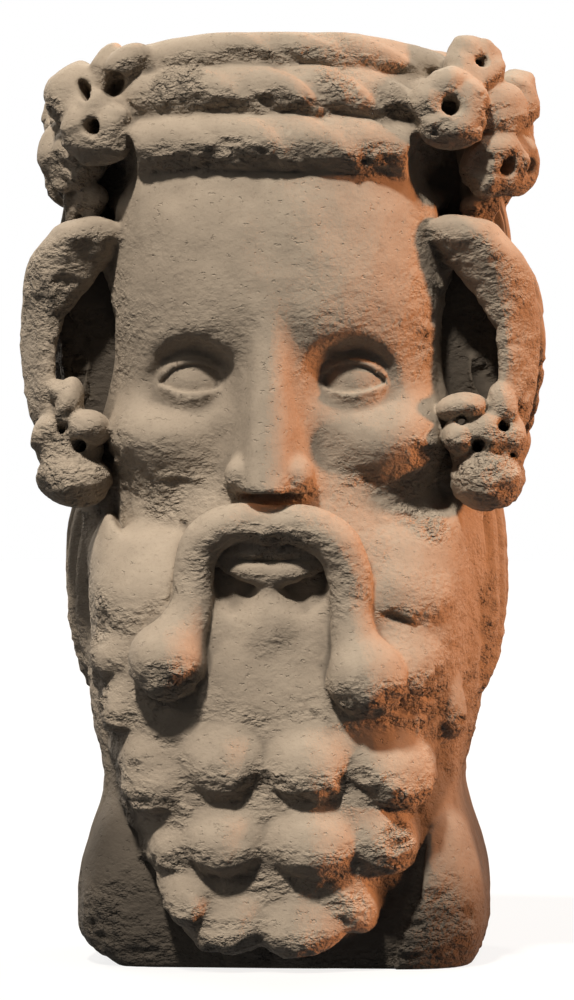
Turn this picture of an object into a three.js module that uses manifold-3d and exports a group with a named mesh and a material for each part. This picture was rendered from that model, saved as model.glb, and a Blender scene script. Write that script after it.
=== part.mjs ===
// Double herm: two bearded heads carved back to back from one block of stone,
// each with a triple rolled wreath, blossom clusters at the temples and a beard of drilled knobs.
// Millimetres, +Z up. The origin is on the underside, at the middle of the block.
// One face looks along -Y and the other, the same form turned half round, along +Y.

import * as THREE from 'three';
import { SimplifyModifier } from 'three/addons/modifiers/SimplifyModifier.js';
import { mergeVertices } from 'three/addons/utils/BufferGeometryUtils.js';
import Module from 'manifold-3d';

const wasm = await Module();
wasm.setup();

// Driving dimensions

const HEIGHT = 399.5;
const CROWN = 397;              // top of the head inside the wreath, at its middle
const CROWN_FALL = 8;           // how much lower the crown is where it meets the wreath
const CROWN_REACH = 75;          // how far out from the middle that fall is measured
const JOIN = 45;                // depth within which the two faces run into each other
const FACE_THIRD = 66;          // hairline to brow, brow to nose base, nose base to chin
const BROW = 269;
const NOSE_BASE = BROW - FACE_THIRD;
const BEARD_POWER = 2.6;        // squareness of the beard's outline, seen from above
const FACE_POWER = 3;
const ROLL_POWER = 2.5;

// Softness of the joint where one form runs into another, as the width of its rounding
const SOFT = {
	ball: 0.6, lid: 0.8, lip: 1.5, lock: 2, beard: 2.5, body: 3,
	hollow: 4, hem: 5, nose: 6, rim: 8, root: 12, flesh: 14,
};

// Half width and half depth of the block, the face and the beard at each height

const SHAFT = {
	z: [0, 10, 34, 55, 77, 105, 130, 150, 165, 200, 225, 250, 300, 325, 350, 375, 400],
	w: [81, 84, 86, 83, 77, 80, 84, 88, 90, 91, 96, 99, 99, 96, 88, 80, 60],
	d: [68, 71, 72, 70, 64, 60, 58, 56, 56, 56, 57, 58, 62, 66, 72, 72, 54],
	power: [5.5, 5.5, 5.5, 5.5, 5, 4, 3.5, 3, 3, 3.2, 4.5, 5, 5, 4.5, 3.2, 3, 3],
};
const FACE = {
	z: [110, 137, 165, 185, 200, 222, 240, 262, 276, 300, 335, 372, 395],
	w: [60, 68, 72, 74, 75, 76, 76, 77, 77, 77, 76, 70, 40],
	d: [70, 84, 86, 84, 82, 83, 86, 91, 95, 96, 91, 74, 40],
};
const BEARD = {
	z: [8, 13, 27, 45, 65, 90, 115, 145, 168, 180, 200],
	w: [12, 28, 45, 57, 65, 73, 79, 83, 84, 84, 82],
	d: [70, 83, 91, 96, 99, 100, 99, 95, 90, 83, 70],
};

// Wreath rolls from the top down
const ROLLS = [
	{ z: 391, radius: 9.3, w: 79, d: 81 },
	{ z: 372.5, radius: 11, w: 83, d: 85.5 },
	{ z: 350, radius: 14.2, w: 86, d: 88 },
];
const ROLL_DROOP = 4;            // how much lower the rolls run at the sides than at the middle of the face
const ROLL_SIDE = 85;
const ROLL_FLATNESS = 0.9;
const ROLL_MELT = { z: 384, over: 8 };   // the rolls run softly into the crown from this height up

// Eggs of the face and the sides of the head, as x, depth and z, with a lean in the plane of the face
const CHEEK = { centre: [47, 60, 226], radii: [24, 25, 17], lean: 0.25 };
const MUZZLE = { centre: [0, 64, 184], radii: [36, 28, 32] };
const SOCKET = { centre: [38.5, 107, 251.5], radii: [30.5, 33.5, 21], lean: -0.07 };
const EYEBALL = { centre: [33.5, 66, 250], radii: [17, 15.6, 15.6] };
const LIDS = { centre: EYEBALL.centre, radii: [19.2, 18.2, 18] };
const NOSE_WING = { centre: [12, 93, 210.5], radii: [7, 10, 7.5] };
const CHIN_TUFT = { centre: [0, 86, 150], radii: [10, 8.5, 10] };
const TEMPLE_HOLLOW = { centre: [86, 70, 324], radii: [17, 34, 13] };
const EAR_HOLLOW = { centre: [87, 66, 256], radii: [12.5, 38, 36], lean: 0.12 };
const EAR_SHELL = { centre: [86, 34, 252], radii: [7, 15, 20], lean: 0.2 };
const EAR_CUP = { centre: [88, 48, 254], radii: [4, 8, 11], lean: 0.2 };

// The opening of the eye lies between two arcs, each of a radius and of a rise of its middle over the eye's
const UPPER_LID = { radius: 18.1, rise: -10.1 };
const LOWER_LID = { radius: 27.2, rise: 22.7 };
// The brow is crisp above and runs out softly over the cheek, from this height down
const BROW_EDGE = { crisp: 2.5, soft: 9.5, z: 256, fade: 14 };
const NOSE = {
	top: BROW - 1, ridge: 97, slope: 0.2, half: 5, widening: 0.03, flare: 0.5, depth: 30,
	base: NOSE_BASE + 0.5, tip: 100, tilt: 0.15, root: 288, back: 52, side: 0.92,
};

// Mouth, sunk between the halves of the moustache, and its lips: x, depth, z and radius along one half
const MOUTH = { half: 23, z: 166, height: 16, floor: 87 };
const LOWER_LIP = [[0, 88.5, 168.5, 5.6], [8, 88, 169.5, 5], [17, 85.5, 173, 3]];
const UPPER_LIP = [[0, 89, 178.5, 3.6], [6, 90, 179.5, 4], [18, 86, 175.5, 2.4]];

// The beard starts below this line, which rises at the sides, and ends above the foot
const BEARD_EDGE = { z: 184, rise: 16, from: 42, over: 40, foot: 9, back: 34 };
const FACE_FOOT = 118;

// Beard knobs: x, z, radius and the part of the radius that is sunk under the beard's surface
const KNOBS = [
	[-58, 163, 22, 0.6], [-80, 148, 13, 0.5], [-70, 131, 15, 0.5], [-81, 112, 12, 0.5],
	[64, 163, 19, 0.6], [80, 152, 15, 0.5], [60, 136, 17, 0.55], [82, 122, 14, 0.5],
	[-17.5, 91, 20, 0.55], [-44, 85, 18, 0.5], [-69, 92, 13, 0.45], [-66, 72, 12, 0.45],
	[15.5, 92, 20, 0.55], [48, 88, 19, 0.5], [71, 97, 14, 0.45], [72, 76, 12, 0.5],
	[-20, 61, 20.5, 0.55], [-51, 52, 16, 0.5], [16.5, 58.5, 20, 0.55], [51, 57, 18, 0.5],
	[-23, 29, 15, 0.5], [9, 27, 17, 0.5], [33, 29, 16, 0.5],
];

// Moustache: x, depth, z and radius along one half
const MOUSTACHE = [
	[0, 97, 189, 8], [16, 97, 189, 8.6], [28, 95, 183, 9.2], [35, 93, 169, 8.8],
	[36, 94, 150, 9.2], [39, 96, 135, 12.5], [42, 96, 122, 18],
];

// Blossoms at the temples: x, depth, z, radius and radius of the drilled eye, if it has one
const RIGHT_CLUSTER = [
	[74, 75, 365, 16.5, 4.2], [84, 60, 385, 12.5, 2.8], [95, 60, 366, 12.5], [93, 60, 344, 15, 4.6],
	[101, 36, 372, 13], [99, 36, 346, 14.5, 3.6], [99, 16, 360, 13.5, 3], [86, 52, 326, 8],
];
const LEFT_CLUSTER = [
	[73, 74, 360, 15, 3.4], [68, 68, 382, 9.5], [86, 56, 374, 14], [86, 54, 347, 13.5],
	[90, 30, 366, 14, 3], [89, 28, 344, 14, 3], [80, 56, 328, 7],
];
const CLUSTER_HEART = [80, 45, 361];
const DRILL_AIM = [62, 20, 362];   // point inside the head that the drilled eyes look away from
const DRILL_LEVEL = 0.6;

// Blossom at the ear and the lock that hangs on the join: x, depth, z and radius
const EAR_BUDS = [
	[76, 67, 242, 8.5], [90, 60, 247, 8.5], [74, 68, 228, 9], [90, 58, 229, 10],
	[84, 54, 211, 12.5], [82, 62, 233, 9.5], [80, 52, 224, 13],
];
const EAR_HEART = [82, 59, 228];
const EAR_DRILLS = [[74, 235, 3], [82, 226.5, 3.4], [88, 237.5, 3]];
const EAR_DRILL_DEPTHS = [62, 88];
const RIBBON = [[84, 46, 348, 7.5], [86, 48, 328, 7], [85, 46, 310, 7]];
const SIDE_LOCK = [[86, 0, 198, 5], [90.5, 0, 175, 8], [90, 0, 150, 8], [84, 0, 126, 5]];

// Broad lock over the ear: inner and outer edge and half thickness at each height
const LOCK = {
	z: [226, 231, 240, 252, 263, 272, 281, 290, 298, 306, 312, 318, 322],
	inner: [99, 97.5, 94.5, 91.5, 88, 83, 77.5, 72.5, 68, 64.5, 63, 65, 72],
	outer: [101, 104, 106.5, 108, 109, 109.5, 109.5, 108.5, 106.5, 102, 97, 90, 80],
	thick: [3, 6, 9, 12, 14, 15, 15, 15, 15, 14, 13, 11, 8],
};
// The lock lies further back the further out it is, and its sections are slanted
const LOCK_LIE = { d: 49, from: 104, lean: 0.62, slant: 0.55, twist: 0.35 };

// Losses at the foot: one long edge, sloping up from its line on the underside, and the corners
const BROKEN_EDGE = { x: -67, across: 0.47, down: 0.88 };
const BROKEN_CORNERS = [
	{ centre: [-92, 78, 20], radii: [16, 16, 24] },
	{ centre: [90, 82, 4], radii: [10, 14, 13] },
	{ centre: [92, -78, 0], radii: [12, 12, 18] },
];

// Mesh of the carved body: rays run outwards from a box inside the stone

const CORE = { w: 62, d: 30, top: 352 };
const COLUMNS = { face: 56, corner: 14, side: 8 };
const ROW_BANDS = [[0, 8, 2], [8, 200, 50], [200, 276, 34], [276, CORE.top, 20]];
const RIM_ROWS = 12;
const TOP_ROWS = 6;
const REACH = 140;
const MARCH = { steps: 90, share: 0.7, close: 0.01, least: 0.5 };
const LOCK_RINGS = 18;
const LOCK_SIDES = 16;
const BUNCH_DETAIL = 11;
const BUNCH_REACH = 90;
const WELD = 1e-4;
const DRILL_SIDES = 6;
const DRILL_TAPER = { deep: 0.8, mouth: 1.2 };
const DRILL_REACH = { deep: 0.2, mouth: 1.5 };

// Triangles kept on each skin before the pieces are joined, and on the joined skin before it is drilled
const BODY_TRIANGLES = 9000;
const CLUSTER_TRIANGLES = 400;
const EAR_TRIANGLES = 220;
const LOCK_TRIANGLES = 160;
const JOINED_TRIANGLES = 8500;

// Distance functions: negative inside the stone

function smin(a, b, k) {
	const h = Math.max(k - Math.abs(a - b), 0) / k;
	return Math.min(a, b) - h * h * k * 0.25;
}

function smax(a, b, k) {
	return -smin(-a, -b, k);
}

function clamp(value, low, high) {
	return Math.min(Math.max(value, low), high);
}

// Ellipsoid, turned by lean in the plane of the face
function egg(x, d, z, { centre, radii, lean = 0 }) {
	const dx = x - centre[0];
	const dz = z - centre[2];
	const u = (dx * Math.cos(lean) + dz * Math.sin(lean)) / radii[0];
	const v = (d - centre[1]) / radii[1];
	const w = (dz * Math.cos(lean) - dx * Math.sin(lean)) / radii[2];
	const reach = Math.hypot(u, v, w);
	return reach * (reach - 1) / (Math.hypot(u / radii[0], v / radii[1], w / radii[2]) + 1e-9);
}

// Round limb between two stations of x, depth, z and radius
function limb(x, d, z, a, b) {
	const ax = b[0] - a[0];
	const ad = b[1] - a[1];
	const az = b[2] - a[2];
	const along = ((x - a[0]) * ax + (d - a[1]) * ad + (z - a[2]) * az) / (ax * ax + ad * ad + az * az);
	const t = clamp(along, 0, 1);
	return Math.hypot(x - a[0] - ax * t, d - a[1] - ad * t, z - a[2] - az * t) - a[3] - (b[3] - a[3]) * t;
}

// Smooth curve through values at rising knots
function curve(t, knots, values) {
	const last = knots.length - 1;
	let i = 0;
	while (i < last - 1 && t > knots[i + 1]) i++;
	const slope = (k) => {
		const low = Math.max(k - 1, 0);
		const high = Math.min(k + 1, last);
		return (values[high] - values[low]) / (knots[high] - knots[low]);
	};
	const step = knots[i + 1] - knots[i];
	const s = clamp((t - knots[i]) / step, 0, 1);
	return (2 * s ** 3 - 3 * s ** 2 + 1) * values[i] + (s ** 3 - 2 * s ** 2 + s) * step * slope(i)
		+ (3 * s ** 2 - 2 * s ** 3) * values[i + 1] + (s ** 3 - s ** 2) * step * slope(i + 1);
}

// Stations along a smooth path through the given ones
function path(stations, count) {
	const knots = [0];
	for (let i = 1; i < stations.length; i++) {
		const [a, b] = [stations[i - 1], stations[i]];
		knots.push(knots[i - 1] + Math.hypot(b[0] - a[0], b[1] - a[1], b[2] - a[2]));
	}
	return Array.from({ length: count + 1 }, (_, i) => {
		const t = knots[knots.length - 1] * i / count;
		return [0, 1, 2, 3].map((k) => curve(t, knots, stations.map((s) => s[k])));
	});
}

function roll(x, d, z, stations) {
	let f = Infinity;
	for (let i = 1; i < stations.length; i++) f = Math.min(f, limb(x, d, z, stations[i - 1], stations[i]));
	return f;
}

// Superellipse in plan, measured along the radius
function plan(x, d, w, depth, power) {
	const e = (Math.abs(x / w) ** power + Math.abs(d / depth) ** power) ** (1 / power) + 1e-6;
	const reach = Math.hypot(x, d);
	return reach - reach / e;
}

function level(table, z, key) {
	return curve(z, table.z, table[key]);
}

// Parts of the form, each for one face: x to the side, d towards the viewer, z up

function crown(x, d, z) {
	return z - CROWN + CROWN_FALL * (x * x + d * d) / CROWN_REACH ** 2;
}

function shaft(x, d, z) {
	const side = plan(x, d, level(SHAFT, z, 'w'), level(SHAFT, z, 'd'), level(SHAFT, z, 'power'));
	return smax(side, crown(x, d, z), SOFT.rim);
}

function visage(ax, d, z) {
	let f = plan(ax, Math.max(d, 0), level(FACE, z, 'w'), level(FACE, z, 'd'), FACE_POWER);
	f = smax(smax(f, FACE_FOOT - z, SOFT.rim), crown(ax, d, z), SOFT.rim);
	f = smin(f, egg(ax, d, z, CHEEK), SOFT.flesh);
	return smin(f, egg(ax, d, z, MUZZLE), SOFT.flesh);
}

function nose(ax, d, z) {
	const ridge = NOSE.ridge + (NOSE.top - z) * NOSE.slope;
	const half = NOSE.half + (NOSE.top - z) * NOSE.widening + clamp(ridge - d, 0, NOSE.depth) * NOSE.flare;
	const under = NOSE.base - z - (d - NOSE.tip) * NOSE.tilt;
	let f = smax(d - ridge, (ax - half) * NOSE.side, SOFT.hem);
	f = smax(smax(f, under, SOFT.hollow), z - NOSE.root, SOFT.root);
	f = smax(f, NOSE.back - d, SOFT.body);
	return smin(f, egg(ax, d, z, NOSE_WING), SOFT.hollow);
}

// Eyeball, and lids around an almond opening between two arcs
function eye(ax, d, z) {
	const [x, , middle] = EYEBALL.centre;
	const arc = ({ radius, rise }) => Math.hypot(ax - x, z - middle - rise) - radius;
	const opening = Math.max(arc(UPPER_LID), arc(LOWER_LID));
	return smin(smax(egg(ax, d, z, LIDS), -opening, SOFT.lid), egg(ax, d, z, EYEBALL), SOFT.ball);
}

function beard(ax, d, z) {
	let f = plan(ax, Math.max(d, 0), level(BEARD, z, 'w'), level(BEARD, z, 'd'), BEARD_POWER);
	const edge = BEARD_EDGE.z + BEARD_EDGE.rise * clamp((ax - BEARD_EDGE.from) / BEARD_EDGE.over, 0, 1) ** 1.5;
	f = smax(f, smax(BEARD_EDGE.foot - z, z - edge, SOFT.hollow), SOFT.hem);
	return smax(f, BEARD_EDGE.back - d, SOFT.hollow);
}

// Point below the beard's surface, sunk along the surface's own direction
function beardPoint(x, z, sink) {
	const w = level(BEARD, z, 'w');
	const depth = level(BEARD, z, 'd');
	const s = Math.min(Math.abs(x) / w, 0.985);
	const side = Math.sign(x);
	const front = (1 - s ** BEARD_POWER) ** (1 / BEARD_POWER);
	const nx = s ** (BEARD_POWER - 1) / w;
	const nd = front ** (BEARD_POWER - 1) / depth;
	const n = Math.hypot(nx, nd);
	return [side * (s * w - sink * nx / n), front * depth - sink * nd / n, z];
}

const knobLimbs = KNOBS.map(([x, z, radius, sink]) => [
	[...beardPoint(x * 0.98, z + radius * 0.75, radius * (sink + 0.3)), radius * 0.85],
	[...beardPoint(x, z - radius * 0.1, radius * sink), radius],
]);

function knobs(x, d, z) {
	return knobLimbs.reduce((f, [high, low]) => smin(f, limb(x, d, z, high, low), SOFT.lock), Infinity);
}

const moustachePath = path(MOUSTACHE, 12);
const lowerLip = path(LOWER_LIP, 4);
const upperLip = path(UPPER_LIP, 4);

function mouthRecess(ax, d, z) {
	const outline = smax(ax - MOUTH.half, Math.abs(z - MOUTH.z) - MOUTH.height, SOFT.hem);
	return smax(outline, MOUTH.floor - d, SOFT.body);
}

function lips(ax, d, z) {
	const both = Math.min(roll(ax, d, z, lowerLip), roll(ax, d, z, upperLip));
	return smin(both, egg(ax, d, z, CHIN_TUFT), SOFT.lock);
}

function ear(ax, d, z) {
	return smax(egg(ax, d, z, EAR_SHELL), -egg(ax, d, z, EAR_CUP), SOFT.lock);
}

function wreath(x, d, z) {
	let f = Infinity;
	for (const ring of ROLLS) {
		const rise = z - ring.z + ROLL_DROOP * (x / ROLL_SIDE) ** 2;
		const away = plan(x, d, ring.w, ring.d, ROLL_POWER);
		f = smin(f, Math.hypot(away * ROLL_FLATNESS, rise) - ring.radius, SOFT.lip);
	}
	return f;
}

function head(x, d, z) {
	const ax = Math.abs(x);
	const fade = clamp((BROW_EDGE.z - z) / BROW_EDGE.fade, 0, 1);
	let f = smin(shaft(x, d, z), visage(ax, d, z), SOFT.body);
	f = smax(f, -egg(ax, d, z, SOCKET), BROW_EDGE.crisp + (BROW_EDGE.soft - BROW_EDGE.crisp) * fade);
	f = smin(f, nose(ax, d, z), SOFT.nose);
	f = smin(f, eye(ax, d, z), SOFT.lock);
	f = smin(f, beard(ax, d, z), SOFT.beard);
	f = smin(f, knobs(x, d, z), SOFT.lock);
	f = smax(f, -mouthRecess(ax, d, z), SOFT.body);
	f = smin(f, lips(ax, d, z), SOFT.lip);
	f = smin(f, roll(ax, d, z, moustachePath), SOFT.lock);
	f = smax(f, -egg(ax, d, z, TEMPLE_HOLLOW), SOFT.body);
	f = smax(f, -egg(ax, d, z, EAR_HOLLOW), SOFT.hollow);
	f = smin(f, ear(ax, d, z), SOFT.lock);
	f = smin(f, roll(ax, d, z, RIBBON), SOFT.hollow);
	f = smin(f, roll(ax, d, z, SIDE_LOCK), SOFT.beard);
	const melt = SOFT.lock + SOFT.rim * clamp((z - ROLL_MELT.z) / ROLL_MELT.over, 0, 1);
	return smax(smin(f, wreath(x, d, z), melt), z - HEIGHT, SOFT.body);
}

// Both heads, less what is broken off the foot of the block
function herm(x, y, z) {
	const front = -y > -JOIN ? head(x, -y, z) : Infinity;
	const rear = -y < JOIN ? head(-x, y, z) : Infinity;
	const both = Number.isFinite(front) && Number.isFinite(rear);
	let f = both ? smin(front, rear, SOFT.body) : Math.min(front, rear);
	f = smax(f, (BROKEN_EDGE.x - x) * BROKEN_EDGE.across - z * BROKEN_EDGE.down, SOFT.body);
	for (const corner of BROKEN_CORNERS) f = smax(f, -egg(x, -y, z, corner), SOFT.hollow);
	return f;
}

// First meeting with the stone on the way in from the far end of a ray
function meet(field, origin, direction, reach) {
	let t = reach;
	for (let i = 0; i < MARCH.steps; i++) {
		const gap = field(...origin.map((v, k) => v + direction[k] * t));
		if (Math.abs(gap) < MARCH.close) break;
		t = Math.max(t - MARCH.share * gap, MARCH.least);
	}
	return origin.map((v, k) => v + direction[k] * t);
}

// Ray origins and directions once round the core: straight along its sides, fanned at its corners
function ring() {
	const rays = [];
	const corners = [[CORE.w, -CORE.d], [CORE.w, CORE.d], [-CORE.w, CORE.d], [-CORE.w, -CORE.d]];
	for (let k = 0; k < 4; k++) {
		const from = corners[(k + 3) % 4];
		const to = corners[k];
		const count = k % 2 ? COLUMNS.side : COLUMNS.face;
		const heading = (k - 1) * Math.PI / 2;
		for (let i = 0; i < count; i++) {
			const t = i / count;
			const origin = from.map((v, j) => v + (to[j] - v) * t);
			rays.push({ origin, heading });
		}
		for (let i = 0; i < COLUMNS.corner; i++) {
			rays.push({ origin: to, heading: heading + i / COLUMNS.corner * Math.PI / 2 });
		}
	}
	return rays;
}

function bodyGeometry() {
	const rays = ring();
	const rows = [];
	for (const [low, high, count] of ROW_BANDS) {
		for (let i = 0; i < count; i++) {
			const z = low + (high - low) * i / count;
			rows.push(rays.map(({ origin, heading }) =>
				meet(herm, [...origin, z], [Math.cos(heading), Math.sin(heading), 0], REACH)));
		}
	}
	for (let i = 0; i <= RIM_ROWS; i++) {
		const lift = i / RIM_ROWS * Math.PI / 2;
		rows.push(rays.map(({ origin, heading }) => meet(herm, [...origin, CORE.top],
			[Math.cos(heading) * Math.cos(lift), Math.sin(heading) * Math.cos(lift), Math.sin(lift)], REACH)));
	}
	for (let i = 1; i < TOP_ROWS; i++) {
		const shrink = 1 - i / TOP_ROWS;
		rows.push(rays.map(({ origin }) =>
			meet(herm, [origin[0] * shrink, origin[1] * shrink, CORE.top], [0, 0, 1], REACH)));
	}
	return skin(rows);
}

// Closed skin over rings of points, each end closed by a fan from the middle of its ring
function skin(rows) {
	const count = rows[0].length;
	const points = rows.flat();
	const middle = (row) => [0, 1, 2].map((k) => row.reduce((sum, p) => sum + p[k], 0) / count);
	const foot = points.push(middle(rows[0])) - 1;
	const top = points.push(middle(rows[rows.length - 1])) - 1;
	const distance = (a, b) => Math.hypot(...points[a].map((v, k) => v - points[b][k]));
	const faces = [];
	for (let i = 0; i < count; i++) {
		const j = (i + 1) % count;
		for (let r = 0; r + 1 < rows.length; r++) {
			const [a, b, c, e] = [r * count + i, r * count + j, (r + 1) * count + j, (r + 1) * count + i];
			if (distance(a, c) < distance(b, e)) faces.push(a, b, c, a, c, e);
			else faces.push(a, b, e, b, c, e);
		}
		faces.push(foot, j, i, top, foot - count + i, foot - count + j);
	}
	const geometry = new THREE.BufferGeometry();
	geometry.setAttribute('position', new THREE.Float32BufferAttribute(points.flat(), 3));
	geometry.setIndex(faces);
	return geometry;
}

// Skin with its flat stretches thinned down to about so many triangles
async function thinned(geometry, triangles) {
	const plain = new THREE.BufferGeometry();
	plain.setAttribute('position', geometry.attributes.position);
	plain.setIndex(geometry.index);
	const merged = mergeVertices(plain, WELD);
	return new SimplifyModifier().modify(merged, merged.attributes.position.count - triangles / 2);
}

// Pieces of carving that stand clear of the body or undercut it, for one face

// Closed skin drawn from all round onto balls of x, depth, z and radius that run softly into each other
function bunch(balls, heart, side) {
	const centre = [heart[0] * side, -heart[1], heart[2]];
	const field = (x, y, z) => balls.reduce((f, [bx, bd, bz, radius]) =>
		smin(f, Math.hypot(x * side - bx, y + bd, z - bz) - radius, SOFT.hollow), Infinity);
	const geometry = new THREE.IcosahedronGeometry(1, BUNCH_DETAIL);
	const points = geometry.attributes.position;
	for (let i = 0; i < points.count; i++) {
		points.setXYZ(i, ...meet(field, centre, [points.getX(i), points.getY(i), points.getZ(i)], BUNCH_REACH));
	}
	return geometry;
}

// Six-sided drilled hole between two points of x, depth and z, wider at its mouth
function drill(from, to, radius, side) {
	const [deep, mouth] = [from, to].map(([x, d, z]) => new THREE.Vector3(x * side, -d, z));
	const way = mouth.clone().sub(deep);
	const [wide, narrow] = [radius * DRILL_TAPER.mouth, radius * DRILL_TAPER.deep];
	const geometry = new THREE.CylinderGeometry(wide, narrow, way.length(), DRILL_SIDES);
	const up = new THREE.Vector3(0, 1, 0);
	geometry.applyQuaternion(new THREE.Quaternion().setFromUnitVectors(up, way.normalize()));
	const middle = deep.add(mouth).multiplyScalar(0.5);
	return geometry.translate(middle.x, middle.y, middle.z);
}

// Point along the line from behind a cluster through a blossom, so many radii from the blossom's middle
function outward([x, d, z, radius], radii) {
	const way = new THREE.Vector3(x - DRILL_AIM[0], d - DRILL_AIM[1], (z - DRILL_AIM[2]) * DRILL_LEVEL);
	way.normalize().multiplyScalar(radius * radii);
	return [x + way.x, d + way.y, z + way.z];
}

// Ring of points in order round the axis, whichever side of the head it is on
function sided(points, side) {
	return side > 0 ? points : points.map(([x, y, z]) => [-x, y, z]).reverse();
}

// The lock over the ear: slanted oval sections between its inner and outer edge
function lockGeometry(side) {
	const foot = LOCK.z[0];
	const rise = LOCK.z[LOCK.z.length - 1] - foot;
	return skin(Array.from({ length: LOCK_RINGS + 1 }, (_, r) => {
		const z = foot + rise * r / LOCK_RINGS;
		const inner = level(LOCK, z, 'inner');
		const outer = level(LOCK, z, 'outer');
		const middle = (inner + outer) / 2;
		const depth = LOCK_LIE.d + (LOCK_LIE.from - middle) * LOCK_LIE.lean;
		return sided(Array.from({ length: LOCK_SIDES }, (_, i) => {
			const turn = i / LOCK_SIDES * 2 * Math.PI;
			const across = (outer - inner) / 2 * Math.cos(turn);
			const through = level(LOCK, z, 'thick') * Math.sin(turn);
			const u = (across - LOCK_LIE.slant * through) / (1 + LOCK_LIE.slant * LOCK_LIE.twist);
			return [middle + u, -(depth + through + LOCK_LIE.twist * u), z];
		}).reverse(), side);
	}));
}

async function raisedPieces() {
	const pieces = [];
	for (const side of [1, -1]) {
		const cluster = side > 0 ? RIGHT_CLUSTER : LEFT_CLUSTER;
		pieces.push(await thinned(bunch(cluster, CLUSTER_HEART, side), CLUSTER_TRIANGLES));
		pieces.push(await thinned(bunch(EAR_BUDS, EAR_HEART, side), EAR_TRIANGLES));
		pieces.push(await thinned(lockGeometry(side), LOCK_TRIANGLES));
	}
	return pieces;
}

function drilledHoles() {
	const holes = [];
	for (const side of [1, -1]) {
		for (const spot of side > 0 ? RIGHT_CLUSTER : LEFT_CLUSTER) {
			const radius = spot[4];
			if (!radius) continue;
			holes.push(drill(outward(spot, DRILL_REACH.deep), outward(spot, DRILL_REACH.mouth), radius, side));
		}
		for (const [x, z, radius] of EAR_DRILLS) {
			holes.push(drill(...EAR_DRILL_DEPTHS.map((depth) => [x, depth, z]), radius, side));
		}
	}
	return holes;
}

// Closed solid of a geometry, for joining and cutting
function solid(geometry) {
	const plain = geometry.clone();
	plain.deleteAttribute('normal');
	plain.deleteAttribute('uv');
	const merged = mergeVertices(plain, WELD);
	return new wasm.Manifold(new wasm.Mesh({
		numProp: 3,
		vertProperties: new Float32Array(merged.attributes.position.array),
		triVerts: new Uint32Array(merged.index.array),
	}));
}

function bothFaces(pieces) {
	return pieces.flatMap((piece) => [solid(piece), solid(piece.clone().rotateZ(Math.PI))]);
}

function geometryOf(manifold) {
	const mesh = manifold.getMesh();
	const geometry = new THREE.BufferGeometry();
	geometry.setAttribute('position', new THREE.BufferAttribute(mesh.vertProperties, 3));
	geometry.setIndex(new THREE.BufferAttribute(mesh.triVerts, 1));
	return geometry;
}

let stone = solid(await thinned(bodyGeometry(), BODY_TRIANGLES));
for (const piece of bothFaces(await raisedPieces())) stone = stone.add(piece);
stone = solid(await thinned(geometryOf(stone), JOINED_TRIANGLES));
for (const hole of bothFaces(drilledHoles())) stone = stone.subtract(hole);

const carved = geometryOf(stone);
carved.computeVertexNormals();

const herms = new THREE.Mesh(carved, new THREE.MeshStandardMaterial({
	name: 'weathered limestone',
	color: 0x9a8c7a,
	roughness: 0.9,
	metalness: 0,
}));
herms.name = 'double_herm';

const statue = new THREE.Group();
statue.add(herms);

export default statue;
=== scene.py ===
"""Double herm: two bearded, wreathed heads carved back to back from one block of weathered limestone.

The stone is one closed surface, the zero of a distance form in millimetres: x to the side, d the depth
towards the viewer of a face, z up. Drilled eyes, hollows behind the locks and overhanging knobs can't be
drawn as one height over a grid, so the form is sampled on a lattice, its skin is drawn through the lattice
as whole arrays, and every vertex is then moved on to the form itself.
"""
import math
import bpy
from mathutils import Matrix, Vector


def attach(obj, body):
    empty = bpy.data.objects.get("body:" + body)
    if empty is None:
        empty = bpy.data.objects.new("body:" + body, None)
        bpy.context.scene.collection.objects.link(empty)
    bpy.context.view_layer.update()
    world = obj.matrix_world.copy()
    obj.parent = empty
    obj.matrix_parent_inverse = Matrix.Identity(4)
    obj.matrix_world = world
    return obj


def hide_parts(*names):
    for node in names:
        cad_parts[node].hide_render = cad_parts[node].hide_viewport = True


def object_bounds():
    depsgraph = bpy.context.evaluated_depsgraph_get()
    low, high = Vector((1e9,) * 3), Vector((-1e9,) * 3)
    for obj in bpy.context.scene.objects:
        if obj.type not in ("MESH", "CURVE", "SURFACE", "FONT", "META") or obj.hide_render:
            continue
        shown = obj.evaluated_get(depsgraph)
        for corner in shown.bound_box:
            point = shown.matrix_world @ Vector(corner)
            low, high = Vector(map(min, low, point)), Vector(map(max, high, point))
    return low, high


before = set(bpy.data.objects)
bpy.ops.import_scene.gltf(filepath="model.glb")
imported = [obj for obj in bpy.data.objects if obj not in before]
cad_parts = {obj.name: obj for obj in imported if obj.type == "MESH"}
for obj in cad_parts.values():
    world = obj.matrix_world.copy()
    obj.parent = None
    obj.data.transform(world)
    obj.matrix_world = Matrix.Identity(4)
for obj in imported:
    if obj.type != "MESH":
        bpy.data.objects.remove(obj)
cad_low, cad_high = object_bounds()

from types import SimpleNamespace as Values

import bpy
import numpy as np
from mathutils import Vector

MM = 0.001
NODE = "double_herm"
SEED = 7

# Lattice and mesh
STEP = 1.4  # spacing of the lattice
BLOCK = 4  # lattice steps in one step of the coarse first pass
MARGIN = 12.0  # how far round a small form it is worked out
MOST_TRIANGLES = 196_000
PAD, FOOT_PAD = 3, 2.5  # lattice steps past the box, round it and under it
PROBE = 0.35  # how far from a vertex the form's slope is measured
TABLE_SIDE = 32  # values along each side of the noise's repeating lattice

# Driving dimensions, in the part's own values
HEIGHT = 399.5
CROWN, CROWN_FALL, CROWN_REACH = 397.0, 8.0, 75.0
JOIN = 45.0  # depth within which the two faces run into each other
FACE_THIRD = 66.0
BROW = 269.0
NOSE_BASE = BROW - FACE_THIRD
BEARD_POWER, FACE_POWER, ROLL_POWER = 4.0, 3.0, 2.5

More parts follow.
